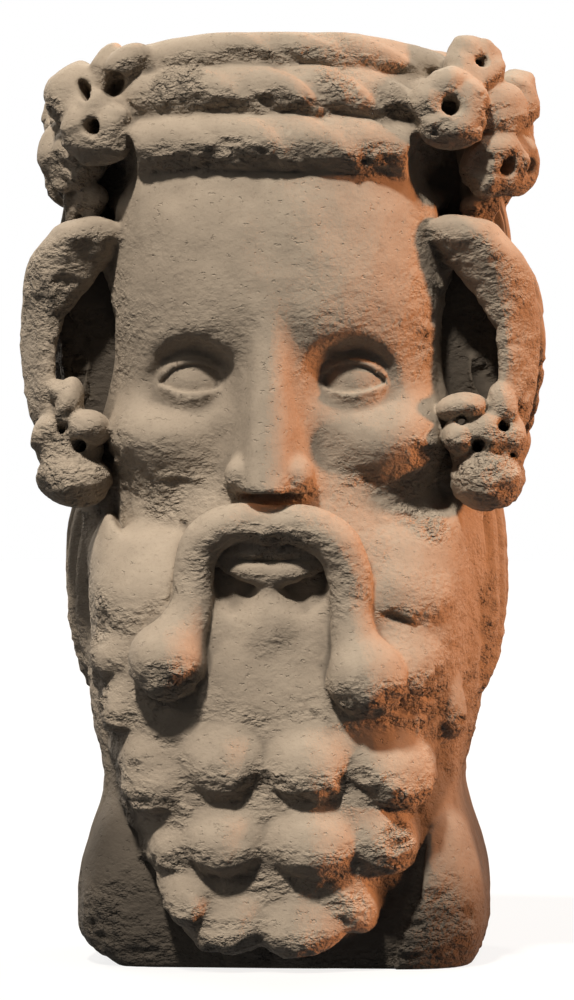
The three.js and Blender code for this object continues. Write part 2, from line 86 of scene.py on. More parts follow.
# Softness of the joint where one form runs into another, as the width of its rounding
SOFT = Values(
    ball=0.6, edge=0.8, arris=1.0, drill=1.2, lip=1.5, bud=1.6, lock=2.0, beard=2.5, body=3.0, lobe=3.5,
    hollow=4.0, hem=5.0, nose=6.0, mouth=7.0, rim=8.0, cheek=9.0, root=12.0, flesh=14.0,
)

# Half width and half depth of the block, the face and the beard at each height
SHAFT = dict(
    z=[0, 10, 27, 42, 57, 76, 90, 105, 130, 150, 165, 200, 225, 250, 300, 325, 350, 375, 400],
    w=[82, 86, 87.5, 86, 82, 77, 78.5, 82.5, 86, 88, 90, 91, 96, 99, 99, 96, 88, 80, 60],
    d=[68, 71, 72, 72, 70, 65, 62, 60, 58, 56, 56, 56, 57, 58, 62, 66, 72, 72, 54],
    power=[5.5, 5.5, 5.5, 5.5, 5.5, 5, 4.5, 4, 3.5, 3, 3, 3.2, 4.5, 5, 5, 4.5, 3.2, 3, 3],
)
FACE = dict(
    z=[110, 137, 165, 185, 200, 222, 240, 262, 276, 300, 335, 372, 395],
    w=[60, 68, 72, 74, 75, 76, 76, 77, 77, 77, 76, 70, 40],
    d=[70, 84, 86, 84, 82, 83, 86, 91, 95, 96, 91, 74, 40],
)
BEARD = dict(
    z=[8, 13, 20, 31, 45, 55, 67, 90, 115, 145, 168, 180, 200],
    w=[20, 32, 39, 47, 57, 63, 68, 72, 78, 83, 84, 84, 82],
    d=[74, 84, 90, 93, 95, 96, 97, 98, 98, 95, 91, 86, 74],
)

# Eggs of the face and the ear, as centre, radii and lean
CHEEK = ((47, 60, 226), (24, 25, 17), 0.25)
MUZZLE = ((0, 64, 184), (36, 28, 32))
SOCKET = ((38.5, 107, 251.5), (30.5, 33.5, 21), -0.07)
NOSE_WING = ((12, 93, 210.5), (7, 10, 7.5))
NOSTRIL = ((6.4, 98, 202), (3.2, 5, 3.4))
TEMPLE_RECESS = ((82, 84, 342), (25, 42, 25), -0.35)
TEMPLE_HOLLOW = ((86, 68, 322), (17, 38, 14))
EAR_HOLLOW = ((85.5, 64, 261), (15.5, 48, 44), 0.10)
EAR_SHELL = ((86, 34, 252), (7, 15, 20), 0.2)
EAR_CUP = ((88, 48, 254), (4, 8, 11), 0.2)

FACE_FOOT = 118.0
FACE_BOX = ((-70, 50, 195), (70, 120, 295))
BROW_EDGE = Values(crisp=2.5, softer=7.0, z=256.0, fade=14.0)  # crisp above, and soft from this height down
NOSE = Values(
    top=BROW - 1, ridge=97.0, slope=0.2, half=5.0, widening=0.03, flare=0.5, depth=30, side=0.92,
    base=NOSE_BASE + 0.5, tip=100, tilt=0.15, root=288.0, back=52.0,
)
EYE = (33.5, 66.0, 250.0)
EYEBALL, LIDS = (17.0, 15.6, 15.6), (19.2, 18.2, 18.0)
# The opening of the eye lies between two arcs, each of a radius and of a rise of its middle over the eye's
UPPER_LID, LOWER_LID = (18.1, -10.1), (27.2, 22.7)

# Wreath: height, radius, half width, half depth, droop towards the sides, strands round half the head,
# and how much of their relief is left
ROLLS = [
    (391.0, 9.0, 79.0, 79.0, 11.0, 10.0, 0.6),
    (373.0, 11.5, 83.0, 82.5, 6.0, 12.0, 1.0),
    (351.5, 13.2, 86.0, 83.5, 3.5, 11.0, 0.6),
]
ROLL_SIDE = 85.0  # width at which the droop is measured
ROLL_TILT = 0.025  # the lower rolls fall a little towards +x
ROLL_FLATNESS = 0.85
ROLL_BACKING = 0.52  # how far the stone between two rolls stands out, in their radii
ROLL_MELT = Values(least=1.5, more=8.0, z=384.0, over=8.0)  # soft into the crown from a height up
STRAND_LEAN = 0.55  # how far a strand runs on round the head as it goes over its roll
STRAND_RELIEF = 2.6

# Temples: x, depth, z, radius and radius of the drilled eye, if there is one
RIGHT_CLUSTER = [
    (74, 75, 366, 17, 5.0), (84, 62, 384, 14.5, 3.2), (95, 60, 366, 12.5, 0), (93, 60, 344, 15, 4.6),
    (101, 36, 372, 13, 0), (99, 36, 346, 14.5, 3.6), (99, 16, 360, 13.5, 3.0), (86, 52, 326, 8, 0),
]
LEFT_CLUSTER = [
    (74, 75, 359, 15.5, 4.4), (68, 68, 383, 10.5, 0), (86, 56, 374, 14, 0), (86, 54, 347, 13.5, 0),
    (90, 30, 366, 14, 3.0), (89, 28, 344, 14, 3.0), (80, 56, 328, 7, 0),
]
DRILL_AIM = np.array([62.0, 20.0, 362.0])  # point inside the head that the drilled eyes look away from
DRILL_LEVEL = 0.6  # how much of their rise or fall is left
# Flat petals of the left cluster and the gaps between them, as eggs of centre, radii and lean
LEFT_FLAPS = [
    ((85, 66, 373), (13, 11, 14), 0.25), ((62, 76, 387), (11, 8, 7), -0.5), ((97, 46, 352), (7, 10, 12), 0.2),
]
LEFT_POCKETS = [((68, 78, 377), (4.0, 12, 5.5), 0.5), ((80, 76, 374), (2.4, 12, 6.0), -0.4)]

# Ear blossoms, as eggs of centre, radii and lean, and the drilled eyes in them, as x, z and radius
RIGHT_EAR = [
    ((80, 66, 239.5), (11, 10, 6), 0.1), ((97, 60, 240), (6.5, 10, 10), 0.2),
    ((79.5, 65, 227), (8, 11, 8), 0), ((90, 62, 229), (9.5, 12, 10), 0),
    ((99, 57, 227), (8, 12, 11), 0), ((89, 56, 221), (14, 14, 15), 0),
    ((90, 59, 209), (15, 18, 13.5), 0), ((95, 67, 212), (11, 9, 6), -0.5),
]
RIGHT_EAR_DRILLS = [(79.3, 233, 2.5), (86, 222.5, 3.4), (97.2, 231, 3.2), (101, 219, 2.0)]
LEFT_EAR = [
    ((88.5, 63, 242), (6, 10, 11), 0.1), ((92, 60, 246), (6.5, 9, 5), 0.5),
    ((80, 66, 231), (9.5, 11, 8), 0.2), ((98, 56, 228.5), (7.5, 12, 10), 0.4),
    ((89, 56, 221), (14, 14, 14), 0), ((87, 59, 209), (16, 18, 12), 0.1),
]
LEFT_EAR_DRILLS = [(83.4, 222.5, 3.3), (91.5, 229, 2.2)]
RIBBON = [(84, 46, 348, 7.5), (86, 48, 328, 7), (85, 46, 310, 7)]
RIBBON_GROOVE = [(80, 56, 344, 1.5), (82, 57, 328, 1.8), (81, 56, 312, 1.5)]
# Mass of hair that falls down the sides between the two beards, and how far to the front and the back the
# combed strands reach at each height
SIDE_MASS = ((83, 0, 168), (14, 30, 52))
STRANDS_REACH = ([116, 130, 165, 200, 218], [6, 18, 27, 30, 46])
STRANDS_ZONE = dict(out=(80.0, 87.0), foot=(114.0, 124.0), top=(-346.0, -332.0))
STRANDS_DEPTH, CROWN_STRANDS_DEPTH = 3.0, 1.3

# Broad lock over the ear: inner and outer edge and half thickness at each height
LOCK = dict(
    z=[226, 231, 240, 252, 263, 272, 279, 285, 292, 300, 307, 313, 319, 323],
    inner=[94, 95.5, 97.5, 99, 99, 97, 93.5, 88, 81, 74.5, 68, 65, 67, 75],
    outer=[99, 103, 106.5, 108, 109, 109.5, 109.5, 109.5, 109, 107.5, 104, 99, 92, 80],
    thick=[8, 11, 13, 14, 15, 16, 16, 16, 16, 16, 15, 14, 11, 7],
)
# The lock lies further back the further out it is, its sections are slanted, and it ends softly at both ends
LOCK_LIE = Values(d=49.0, start=104.0, lean=0.62, slant=0.55, twist=0.35, steep=13.0, middle=274.0, half=48.0)
LOCK_BOX = ((58.0, 25.0, 224.0), (114.0, 100.0, 324.0))
LOCK_POWER = 2.8
BROKEN_LOCK = ((-81, 85, 301), (13, 15, 13))  # bite out of the left lock's upper end

# Lobes of the beard: x, z, half width, half height, how far each stands out, and its lean in the beard's
# plane
LOBES = [
    (-60, 167, 24, 25, 2.0, 0.1), (-72, 137, 15, 13, 4.0, -0.3), (-68, 115, 13, 15, 4.5, 0.1),
    (-54, 86, 17, 20, 4.5, 0.35), (-19, 93, 18.5, 19, 6.5, 0.0), (17, 92, 21, 19, 6.5, 0.0),
    (56, 90, 22, 20, 6.0, -0.3), (-43, 43, 13, 27, 3.0, 0.55), (-19, 59.5, 18.5, 18, 6.5, 0.0),
    (17, 59, 21, 18, 6.5, 0.0), (52, 60, 18, 18, 5.0, 0.25), (-19, 27, 22, 20, 3.0, 0.2),
    (12, 26, 22, 20, 3.0, -0.1), (37, 34, 14, 19, 2.5, 0.5), (61, 162, 22, 17, 2.5, 0.1),
    (56, 133, 20, 17, 4.5, 0.2), (76, 118, 14, 20, 4.0, 0.1),
]
LOBE_POWER = 2.05  # the lobes are a little squarer than eggs
LOBE_HANG = 0.32  # how far each stands out more at its lower end
# Pointed ends of curls at the beard's edge, each from a thick to a thin end: x, z, radius
CURL_TIPS = [
    ((-56, 90, 13), (-72, 94, 2.2)), ((-44, 52, 12), (-56, 50, 2.2)), ((-74, 136, 9), (-84, 122, 3.0)),
]
# Grooves drawn into the beard: x, z and radius along each, and how far their middle lies outside it
GROOVE_OUT = 0.8
BEARD_GROOVES = [
    [(-38, 190, 1.6), (-38, 176, 2.2), (-41, 160, 2.2), (-43, 147, 1.4)],
    [(47, 152, 0.8), (54, 149, 1.8), (62, 147, 0.8)],
    [(-64, 84, 1.0), (-60, 76, 1.8), (-62, 68, 1.2)],
]
# Upper line of the beard on the left cheek, where it stands out as a plate with one pointed tip
PLATE_EDGE = ([30, 38, 51, 60, 66, 72.5, 78, 88], [190, 188, 184.5, 183, 186, 194, 188, 172])
# Its upper line on the right cheek, which rises towards the side, and where the beard ends below and behind
CHEEK_EDGE = Values(z=184.0, rise=16.0, start=42.0, over=40.0, bend=1.5)
BEARD_FOOT, BEARD_BACK = 9.0, 34.0

# Moustache: x, depth, z and radius from the middle to the round end on each side
MOUSTACHE_LEFT = [
    (0, 97, 189, 8), (-15, 97, 190, 8.6), (-27, 95.5, 184, 8.8), (-32, 93, 170, 8.4),
    (-33, 94, 155, 8.4), (-37, 95.5, 144, 11), (-43, 97, 132, 16.8),
]
MOUSTACHE_RIGHT = [
    (0, 97, 189, 8), (15, 97, 189, 8.8), (28, 96, 182, 9.6), (34, 93.5, 168, 9.4),
    (34.5, 94, 150, 9.0), (37, 95.5, 138, 11), (41, 97, 125.5, 16.8),
]
LOWER_LIP = [(0, 93, 168.8, 5.4), (7, 93, 169.4, 5.0), (14, 91.5, 171.3, 4.0), (21, 89, 173.4, 2.6)]
UPPER_LIP = [(0, 93.5, 178.6, 3.8), (5, 94, 179.2, 4.2), (13, 92.5, 177.8, 3.6), (21, 89, 174.8, 2.4)]
CHIN_TUFT = ((0, 83, 146, 15.5), (0, 91, 160, 4.6))
MOUTH_BOX = ((-26, 78, 138), (26, 110, 186))

# Losses: what is broken off the foot, and the chips along the edges, as eggs of x, depth and z
BROKEN_EDGE = Values(x=-67.0, across=0.47, down=0.88)
BROKEN_CORNERS = [((-95, 79, 18), (16, 16, 22)), ((93, 82, 2), (10, 14, 12)), ((95, -78, 0), (12, 12, 18))]
# Part of the block's right front corner that was left prouder: how far, its upper limit, and the line where
# it ends, as x at each height
PROUD_CORNER = Values(
    out=3.0, aside=0.4, top=74.0, front=20.0,
    z=[0, 5, 30, 42, 58, 65, 80], x=[51, 52, 62.5, 64.5, 66, 69, 76],
)

# Wear: the undersides are pitted and crumbled, the faces that look up are washed smooth.
# A patch is x, depth, z and radius. A zone gives the two places between which it sets in at each of its ends.
ROUGH_PATCHES = [
    (-92, 66, 292, 24), (-84, 70, 16, 26), (70, 70, 12, 28), (-80, 80, 150, 16), (-80, 76, 118, 16),
    (70, 78, 200, 24), (-52, 84, 203, 20), (58, 94, 58, 14), (40, 94, 26, 14), (-90, 66, 214, 26),
    (92, 68, 214, 24), (-70, 80, 352, 14), (-40, 90, 378, 16), (30, 92, 380, 14), (80, 78, 352, 14),
]
SMOOTH_PATCHES = [(0, 96, 140, 34), (-58, 82, 176, 22)]
ROUGH_RIM, SMOOTH_RIM = 0.55, 0.7  # part of its radius within which a patch is at its full strength
SMOOTHING = 0.7
LEAST_WEAR = 0.06  # how rough the smoothest parts of the stone still are
LOOKING_DOWN = (-0.28, 0.42)
FACE_CLEAN = 0.30  # share of the wear that is left round the eyes and the nose
FACE_ZONE = dict(side=(-66.0, -56.0), foot=(206.0, 218.0), top=(-345.0, -328.0), front=(50.0, 60.0))
RELIEF_FOOT = (1.0, 6.0)  # the underside has no relief, and it fades in above it

# Painted shade: rounds of smoothing that find the hollows, how far they are sunk, where the shade is painted,
# and its shares
CAVITY_ROUNDS, CAVITY_ZONE = 8, (0.35, 2.2)
CREASE_SHADE_SHARE, RECESS_SHADE_SHARE, MOST_PAINTED_SHADE = 0.75, 0.85, 0.94
BLOCK_SHADE_ZONE = dict(top=(-150.0, -40.0), back=(-84.0, -76.0))
CORNER_SPARED = 0.45
RECESS_DEPTH = dict(back=(-62.0, -48.0), front=(8.0, 16.0))
RECESS_ZONE = dict(foot=(208.0, 220.0), top=(-350.0, -338.0), side=(-104.0, -99.0))

# Stone: colours, noises as scale, detail and roughness, and the two places between which a noise is spread
STONE_ROUGHNESS, STONE_SPECULAR = 0.88, 0.22
STONE_LIGHT = (0.385, 0.315, 0.240)
STONE_DARK = (0.300, 0.245, 0.186)
# Colour of the painted shade that darkens the hollows, the deep recesses and the block towards its foot
PAINTED_SHADE_COLOUR = (0.042, 0.034, 0.026)
WHITE, BLACK = (1.0, 1.0, 1.0), (0.0, 0.0, 0.0)
TEXTURE_FLATNESS = (1.0, 1.0, 1.5)
TONE = Values(noise=(11.0, 4.0, 0.55), spread=(0.32, 0.68))
MOTTLE = Values(noise=(85.0, 6.0, 0.65), spread=(0.25, 0.75), dark=(0.80, 0.79, 0.78), share=0.75)
SPECKLE = Values(noise=(620.0, 3.0, 0.7), spread=(0.30, 0.46), dark=(0.78, 0.76, 0.74), share=0.6)
# Bumps: as above, with their height in metres and their strength; those without one are as strong as the wear
SWELLS = Values(noise=(60.0, 4.0, 0.45), height=0.0024, strength=0.50)
CRUMBLE = Values(noise=(210.0, 3.5, 0.66), height=0.0085)
RIDGES = Values(noise=(120.0, 3.0, 0.6), height=0.0012)
SCALES = Values(scale=250.0, detail=1.0, spread=(0.05, 0.85), height=0.0022)
DASHES = Values(noise=(300.0, 3.0, 0.6), spread=(0.30, 0.37), height=0.0008, strength=0.6)
GRAIN = Values(noise=(700.0, 2.0, 0.6), height=0.0004, strength=0.35)

# Floor, camera and lights. Azimuths in degrees are turned from the front towards +x.
FLOOR = Values(sides=96, radius=14.0, roughness=0.95, specular=0.1, glow_strength=0.84)
FLOOR_COLOUR, FLOOR_GLOW = (0.10, 0.10, 0.099, 1.0), (1.0, 0.99, 0.975, 1.0)
CAMERA_DISTANCE = 2.2
CAMERA_AZIMUTH = math.radians(4.5)
CAMERA_HEIGHT = 0.2
SENSOR = 36.0
FRAME_HEIGHT = 0.4405  # height of the photograph's frame at the statue's middle
LIGHTS = [  # name, azimuth, elevation, strength, colour, size in the sky
    ("key", -15.0, 56.0, 4.75, (1.0, 0.94, 0.86), 5.0),
    ("left_fill", -60.0, 25.0, 0.30, (1.0, 0.95, 0.88), 16.0),
    ("high_fill", 32.0, 68.0, 0.7, (1.0, 0.95, 0.88), 10.0),
    ("warm_side", 91.0, 9.0, 4.6, (1.0, 0.40, 0.16), 6.0),
    ("back_left", 145.0, 48.0, 1.6, (1.0, 0.97, 0.93), 20.0),
    ("back_right", 215.0, 35.0, 1.8, (1.0, 0.96, 0.90), 20.0),
]
ROOM_COLOUR, ROOM_STRENGTH = (0.95, 0.97, 1.0, 1.0), 0.04

table = np.random.default_rng(SEED).uniform(-1.0, 1.0, (TABLE_SIDE, TABLE_SIDE, TABLE_SIDE))


# Distances: negative inside the stone. A point array holds x, depth and z in its three rows.

def smooth_min(a, b, soft):
    """Lesser of two distances, rounded over the width soft: a quarter of it is filled in where they meet."""
    h = np.maximum(soft - np.abs(a - b), 0.0) / soft
    return np.minimum(a, b) - h * h * soft * 0.25


def smooth_max(a, b, soft):
    """Greater of two distances, rounded over the width soft."""
    return -smooth_min(-a, -b, soft)


def fade(value, start, end):
    """0 before start and 1 after end, with a smooth cubic between."""
    t = np.clip((value - start) / (end - start), 0.0, 1.0)
    return t * t * (3.0 - 2.0 * t)


def curve(t, knots, values):
    """Smooth cubic through values at rising knots, with the slope at a knot taken from its neighbours."""
    h = np.asarray(knots, float)
    v = np.asarray(values, float)
    i = np.clip(np.searchsorted(h, t) - 1, 0, len(h) - 2)
    step = h[i + 1] - h[i]
    s = np.clip((t - h[i]) / step, 0.0, 1.0)
    slope = np.gradient(v, h) if len(h) > 2 else np.full(2, (v[1] - v[0]) / (h[1] - h[0]))
    s2, s3 = s * s, s * s * s
    return ((2 * s3 - 3 * s2 + 1) * v[i] + (s3 - 2 * s2 + s) * step * slope[i]
            + (3 * s2 - 2 * s3) * v[i + 1] + (s3 - s2) * step * slope[i + 1])


FINE = np.arange(-20.0, 421.0, 0.5)


def levels(rows):
    """Every column of a table of heights, as values half a millimetre apart, for quick reading."""
    return {key: curve(FINE, rows["z"], rows[key]) for key in rows if key != "z"}


SHAFT_LEVELS, FACE_LEVELS, BEARD_LEVELS, LOCK_LEVELS = [levels(rows) for rows in (SHAFT, FACE, BEARD, LOCK)]


def level(columns, z, key):
    return np.interp(z, FINE, columns[key])


# Turn of the noise's lattice, so that its rows don't run along the block's faces, and where it starts
NOISE_TURN = np.array([[0.64, 0.60, -0.48], [-0.77, 0.50, -0.40], [0.00, 0.62, 0.78]])
NOISE_START = np.array([[11.3], [5.7], [23.1]])


def noise(P, size, shift=0.0):
    """Lumps about so many millimetres across: random values of a repeating lattice, blended smoothly."""
    q = NOISE_TURN @ P / size + NOISE_START + shift
    cell = np.floor(q).astype(int)
    t = q - cell
    t = t * t * (3.0 - 2.0 * t)
    low, high = cell % TABLE_SIDE, (cell + 1) % TABLE_SIDE
    out = 0.0
    for i, wx in ((low[0], 1 - t[0]), (high[0], t[0])):
        for j, wy in ((low[1], 1 - t[1]), (high[1], t[1])):
            out = out + wx * wy * ((1 - t[2]) * table[i, j, low[2]] + t[2] * table[i, j, high[2]])
    return out


def plan(x, d, half_width, half_depth, power):
    """Superellipse seen from above: how far a point is past the outline, along the line from the middle."""
    e = (np.abs(x / half_width) ** power + np.abs(d / half_depth) ** power) ** (1.0 / power) + 1e-6
    reach = np.hypot(x, d)
    return reach - reach / e


# Small forms: each is a distance with the box it lies in, and is worked out only near that box.

def mirrored(P):
    """The points with those of the -x side laid over on to the +x side."""
    return np.stack([np.abs(P[0]), P[1], P[2]])


def within(P, low, high):
    """Indices of the points in a box or near it."""
    inside = (P >= np.reshape(low, (3, 1)) - MARGIN) & (P <= np.reshape(high, (3, 1)) + MARGIN)
    return np.flatnonzero(inside.all(0))


def add(f, P, form, soft):
    distance, low, high = form
    i = within(P, low, high)
    f[i] = smooth_min(f[i], distance(P[:, i]), soft)


def cut(f, P, form, soft):
    distance, low, high = form
    i = within(P, low, high)
    f[i] = smooth_max(f[i], -distance(P[:, i]), soft)


def egg(centre, radii, lean=0.0):
    """Ellipsoid, turned by lean in the plane of the face."""
    centre, radii = np.array(centre, float), np.array(radii, float)
    turn = np.array([[math.cos(lean), 0, math.sin(lean)], [0, 1, 0], [-math.sin(lean), 0, math.cos(lean)]])

    def distance(P):
        q = turn @ (P - centre[:, None]) / radii[:, None]
        reach = np.sqrt((q * q).sum(0))
        slope = np.sqrt(((q / radii[:, None]) ** 2).sum(0)) + 1e-9
        return reach * (reach - 1.0) / slope

    return distance, centre - radii.max(), centre + radii.max()


def limb(a, b):
    """Round cone between two balls of x, depth, z and radius, with its skin tangent to both."""
    a, b = np.array(a, float), np.array(b, float)
    length = np.linalg.norm(b[:3] - a[:3])
    way = (b[:3] - a[:3]) / length
    growth = np.clip((b[3] - a[3]) / length, -0.95, 0.95)
    lean = growth / math.sqrt(1.0 - growth * growth)

    def distance(P):
        q = P - a[:3, None]
        along = way @ q
        off = np.sqrt(np.maximum((q * q).sum(0) - along * along, 0.0))
        t = np.clip(along + off * lean, 0.0, length)
        return np.hypot(along - t, off) - a[3] - growth * t

    low = np.minimum(a[:3] - a[3], b[:3] - b[3])
    high = np.maximum(a[:3] + a[3], b[:3] + b[3])
    return distance, low, high


def path(stations, count):
    """Stations spaced evenly along a smooth curve through the given ones."""
    s = np.array(stations, float)
    knots = np.concatenate([[0.0], np.cumsum(np.linalg.norm(np.diff(s[:, :3], axis=0), axis=1))])
    t = np.linspace(0.0, knots[-1], count + 1)
    return np.stack([curve(t, knots, s[:, i]) for i in range(s.shape[1])], axis=1)


def roll(stations, count):
    """Round roll along a smooth curve: the least of the distances to its limbs."""
    q = path(stations, count)
    limbs = [limb(a, b) for a, b in zip(q[:-1], q[1:])]

    def distance(P):
        return np.minimum.reduce([piece[0](P) for piece in limbs])

    return distance, np.min([piece[1] for piece in limbs], 0), np.max([piece[2] for piece in limbs], 0)


def sided(form, side):
    """The same form on the +x side, or mirrored to the -x side."""
    distance, low, high = form
    if side > 0:
        return form
    flip = np.array([-1.0, 1.0, 1.0])
    low, high = np.array([-high[0], *low[1:]]), np.array([-low[0], *high[1:]])
    return (lambda P: distance(P * flip[:, None])), low, high


# Block and face

def crown(P):
    """Low dome inside the wreath."""
    x, d, z = P
    return z - CROWN + CROWN_FALL * (x * x + d * d) / CROWN_REACH ** 2


def shaft(P):
    """Block: a squared outline whose width, depth and squareness follow the height, under a low dome."""
    x, d, z = P
    side = plan(x, d, *[level(SHAFT_LEVELS, z, key) for key in ("w", "d", "power")])
    return smooth_max(side, crown(P), SOFT.rim)


def proud_corner(P):
    """Slab over the block's right front corner, with a crisp inner edge that leans with the height."""
    x, d, z = P
    out = PROUD_CORNER.out
    width = level(SHAFT_LEVELS, z, "w") + PROUD_CORNER.aside * out
    side = plan(x, d, width, level(SHAFT_LEVELS, z, "d") + out, level(SHAFT_LEVELS, z, "power"))
    edge = np.interp(z, PROUD_CORNER.z, PROUD_CORNER.x)
    return smooth_max(smooth_max(side, edge - x, SOFT.edge), z - PROUD_CORNER.top, SOFT.flesh)


def visage(P):
    """Mask of the face: a rounded outline at each height, with cheekbones and the swell round the mouth."""
    x, d, z = P
    f = plan(x, np.maximum(d, 0.0), level(FACE_LEVELS, z, "w"), level(FACE_LEVELS, z, "d"), FACE_POWER)
    f = smooth_max(smooth_max(f, FACE_FOOT - z, SOFT.rim), crown(P), SOFT.rim)
    for side in (1, -1):
        add(f, P, sided(egg(*CHEEK), side), SOFT.flesh)
    add(f, P, egg(*MUZZLE), SOFT.flesh)
    return f


def socket(P):
    """Hollow of the eye: an egg, cut off below by a slope that runs out on to the cheek."""
    ax, d, z = P
    bowl = egg(*SOCKET)[0](P)
    slope = 238.0 - 0.30 * (d - 74.0) + 0.05 * (ax - 30.0) - z
    return smooth_max(bowl, slope, SOFT.cheek)


def nose(P):
    """Straight ridge with sloping sides, rounded wings and drilled nostrils."""
    ax, d, z = P
    down = NOSE.top - z
    ridge = NOSE.ridge + down * NOSE.slope
    half = NOSE.half + down * NOSE.widening + np.clip(ridge - d, 0, NOSE.depth) * NOSE.flare
    under = NOSE.base - z - (d - NOSE.tip) * NOSE.tilt
    f = smooth_max(d - ridge, (ax - half) * NOSE.side, SOFT.hem)
    f = smooth_max(smooth_max(f, under, SOFT.hollow), z - NOSE.root, SOFT.root)
    f = smooth_max(f, NOSE.back - d, SOFT.body)
    f = smooth_min(f, egg(*NOSE_WING)[0](P), SOFT.hollow)
    return smooth_max(f, -egg(*NOSTRIL)[0](P), SOFT.lip)


def eye(P):
    """Eyeball, and two lids round an almond opening between an upper and a lower arc, with a fold above."""
    ax, d, z = P
    x, depth, middle = EYE

    def arc(radius, rise):
        return np.hypot(ax - x, z - middle - rise) - radius

    opening = smooth_max(arc(*UPPER_LID), arc(*LOWER_LID), SOFT.ball)
    lids = smooth_max(egg(EYE, LIDS)[0](P), -opening, SOFT.edge)
    fold = np.abs(arc(21.6, UPPER_LID[1])) - 0.7
    fold = smooth_max(fold, depth + 13.0 - d, SOFT.lock)
    fold = smooth_max(fold, middle + 3.0 - z, SOFT.body)
    lids = smooth_max(lids, -fold, SOFT.bud)
    return smooth_min(lids, egg(EYE, EYEBALL)[0](P), SOFT.ball)


def face(f, P):
    """Sockets, nose and eyes, worked out near the front of the head only."""
    i = within(P, *FACE_BOX)
    M = mirrored(P[:, i])
    fall = np.clip((BROW_EDGE.z - M[2]) / BROW_EDGE.fade, 0.0, 1.0)
    g = smooth_max(f[i], -socket(M), BROW_EDGE.crisp + BROW_EDGE.softer * fall)
    g = smooth_min(g, nose(M), SOFT.nose)
    f[i] = smooth_min(g, eye(M), SOFT.lock)


def mouth(f, P):
    """Recess between the moustache's arms, with the lips and the tuft of the chin in it."""
    i = within(P, *MOUTH_BOX)
    M = mirrored(P[:, i])
    outline = smooth_max(M[0] - 24.0, np.abs(M[2] - 170.0) - 17.0, SOFT.flesh)
    floor_depth = 89.5 - 0.006 * M[0] ** 2 + 0.25 * np.maximum(160.0 - M[2], 0.0)
    g = smooth_max(f[i], -smooth_max(outline, floor_depth - M[1], SOFT.hollow), SOFT.mouth)
    lips = [roll(stations, 8)[0](M) for stations in (LOWER_LIP, UPPER_LIP)]
    g = smooth_min(g, smooth_min(*lips, SOFT.edge), SOFT.body)
    f[i] = smooth_min(g, limb(*CHIN_TUFT)[0](P[:, i]), SOFT.hem)


# Beard

def beard_point(x, z, sink=0.0):
    """Point under the beard's surface, sunk along the surface's direction in plan, with that direction."""
    w = float(level(BEARD_LEVELS, z, "w"))
    depth = float(level(BEARD_LEVELS, z, "d"))
    s = min(abs(x) / w, 0.985)
    front = (1.0 - s ** BEARD_POWER) ** (1.0 / BEARD_POWER)
    n = np.array([s ** (BEARD_POWER - 1) / w, front ** (BEARD_POWER - 1) / depth])
    n /= np.linalg.norm(n)
    point = (math.copysign(s * w - sink * n[0], x), front * depth - sink * n[1], z)
    return point, np.array([math.copysign(n[0], x), n[1], 0.0])


def beard(P):
    """Mass of the beard: on the left it starts as a plate with a stepped edge, on the right in the cheek."""
    x, d, z = P
    ax = np.abs(x)
    f = plan(x, np.maximum(d, 0.0), level(BEARD_LEVELS, z, "w"), level(BEARD_LEVELS, z, "d"), BEARD_POWER)
    left = curve(np.clip(ax, PLATE_EDGE[0][0], PLATE_EDGE[0][-1]), *PLATE_EDGE)
    aside = np.clip((ax - CHEEK_EDGE.start) / CHEEK_EDGE.over, 0.0, 1.0)
    right = CHEEK_EDGE.z + CHEEK_EDGE.rise * aside ** CHEEK_EDGE.bend
    ends = smooth_max(BEARD_FOOT - z, z - np.where(x < 0, left, right), SOFT.hollow)
    f = smooth_max(f, ends, np.where(x < 0, SOFT.body, SOFT.cheek))
    return smooth_max(f, BEARD_BACK - d, SOFT.hollow)


def lobe(x, z, half_width, half_height, out, lean):
    """Pillow on the beard: a squared egg, turned by lean and sheared so that its lower end overhangs."""
    thick = 0.45 * (half_width + half_height) * 0.5 + 0.5 * out + 3.0
    centre, way = beard_point(x, z, thick - out)
    centre = np.array(centre)
    aside = np.array([way[1], -way[0], 0.0])

    def distance(P):
        q = P - centre[:, None]
        along, up = aside @ q, q[2]
        u = (along * math.cos(lean) + up * math.sin(lean)) / half_width
        v = (up * math.cos(lean) - along * math.sin(lean)) / half_height
        w = (way @ q + LOBE_HANG * up) / thick
        e = sum(np.abs(part) ** LOBE_POWER for part in (u, v, w)) ** (1 / LOBE_POWER) + 1e-6
        reach = np.sqrt((q * q).sum(0))
        return reach - reach / e

    size = max(half_width, half_height) * 1.25
    return distance, centre - size, centre + size


def lobe_forms():
    forms = [lobe(*spot) for spot in LOBES]
    for (x, z, radius), (tip_x, tip_z, tip) in CURL_TIPS:
        root = beard_point(x, z, radius * 0.6)[0]
        end = beard_point(tip_x, tip_z, tip * 0.2)[0]
        forms.append(limb((*root, radius), (*end, tip)))
    return forms


def groove_forms():
    forms = []
    for stations in BEARD_GROOVES:
        line = [(*beard_point(x, z, -GROOVE_OUT)[0], radius) for x, z, radius in stations]
        forms.append(roll(line, 6))
    return forms


# Wreath

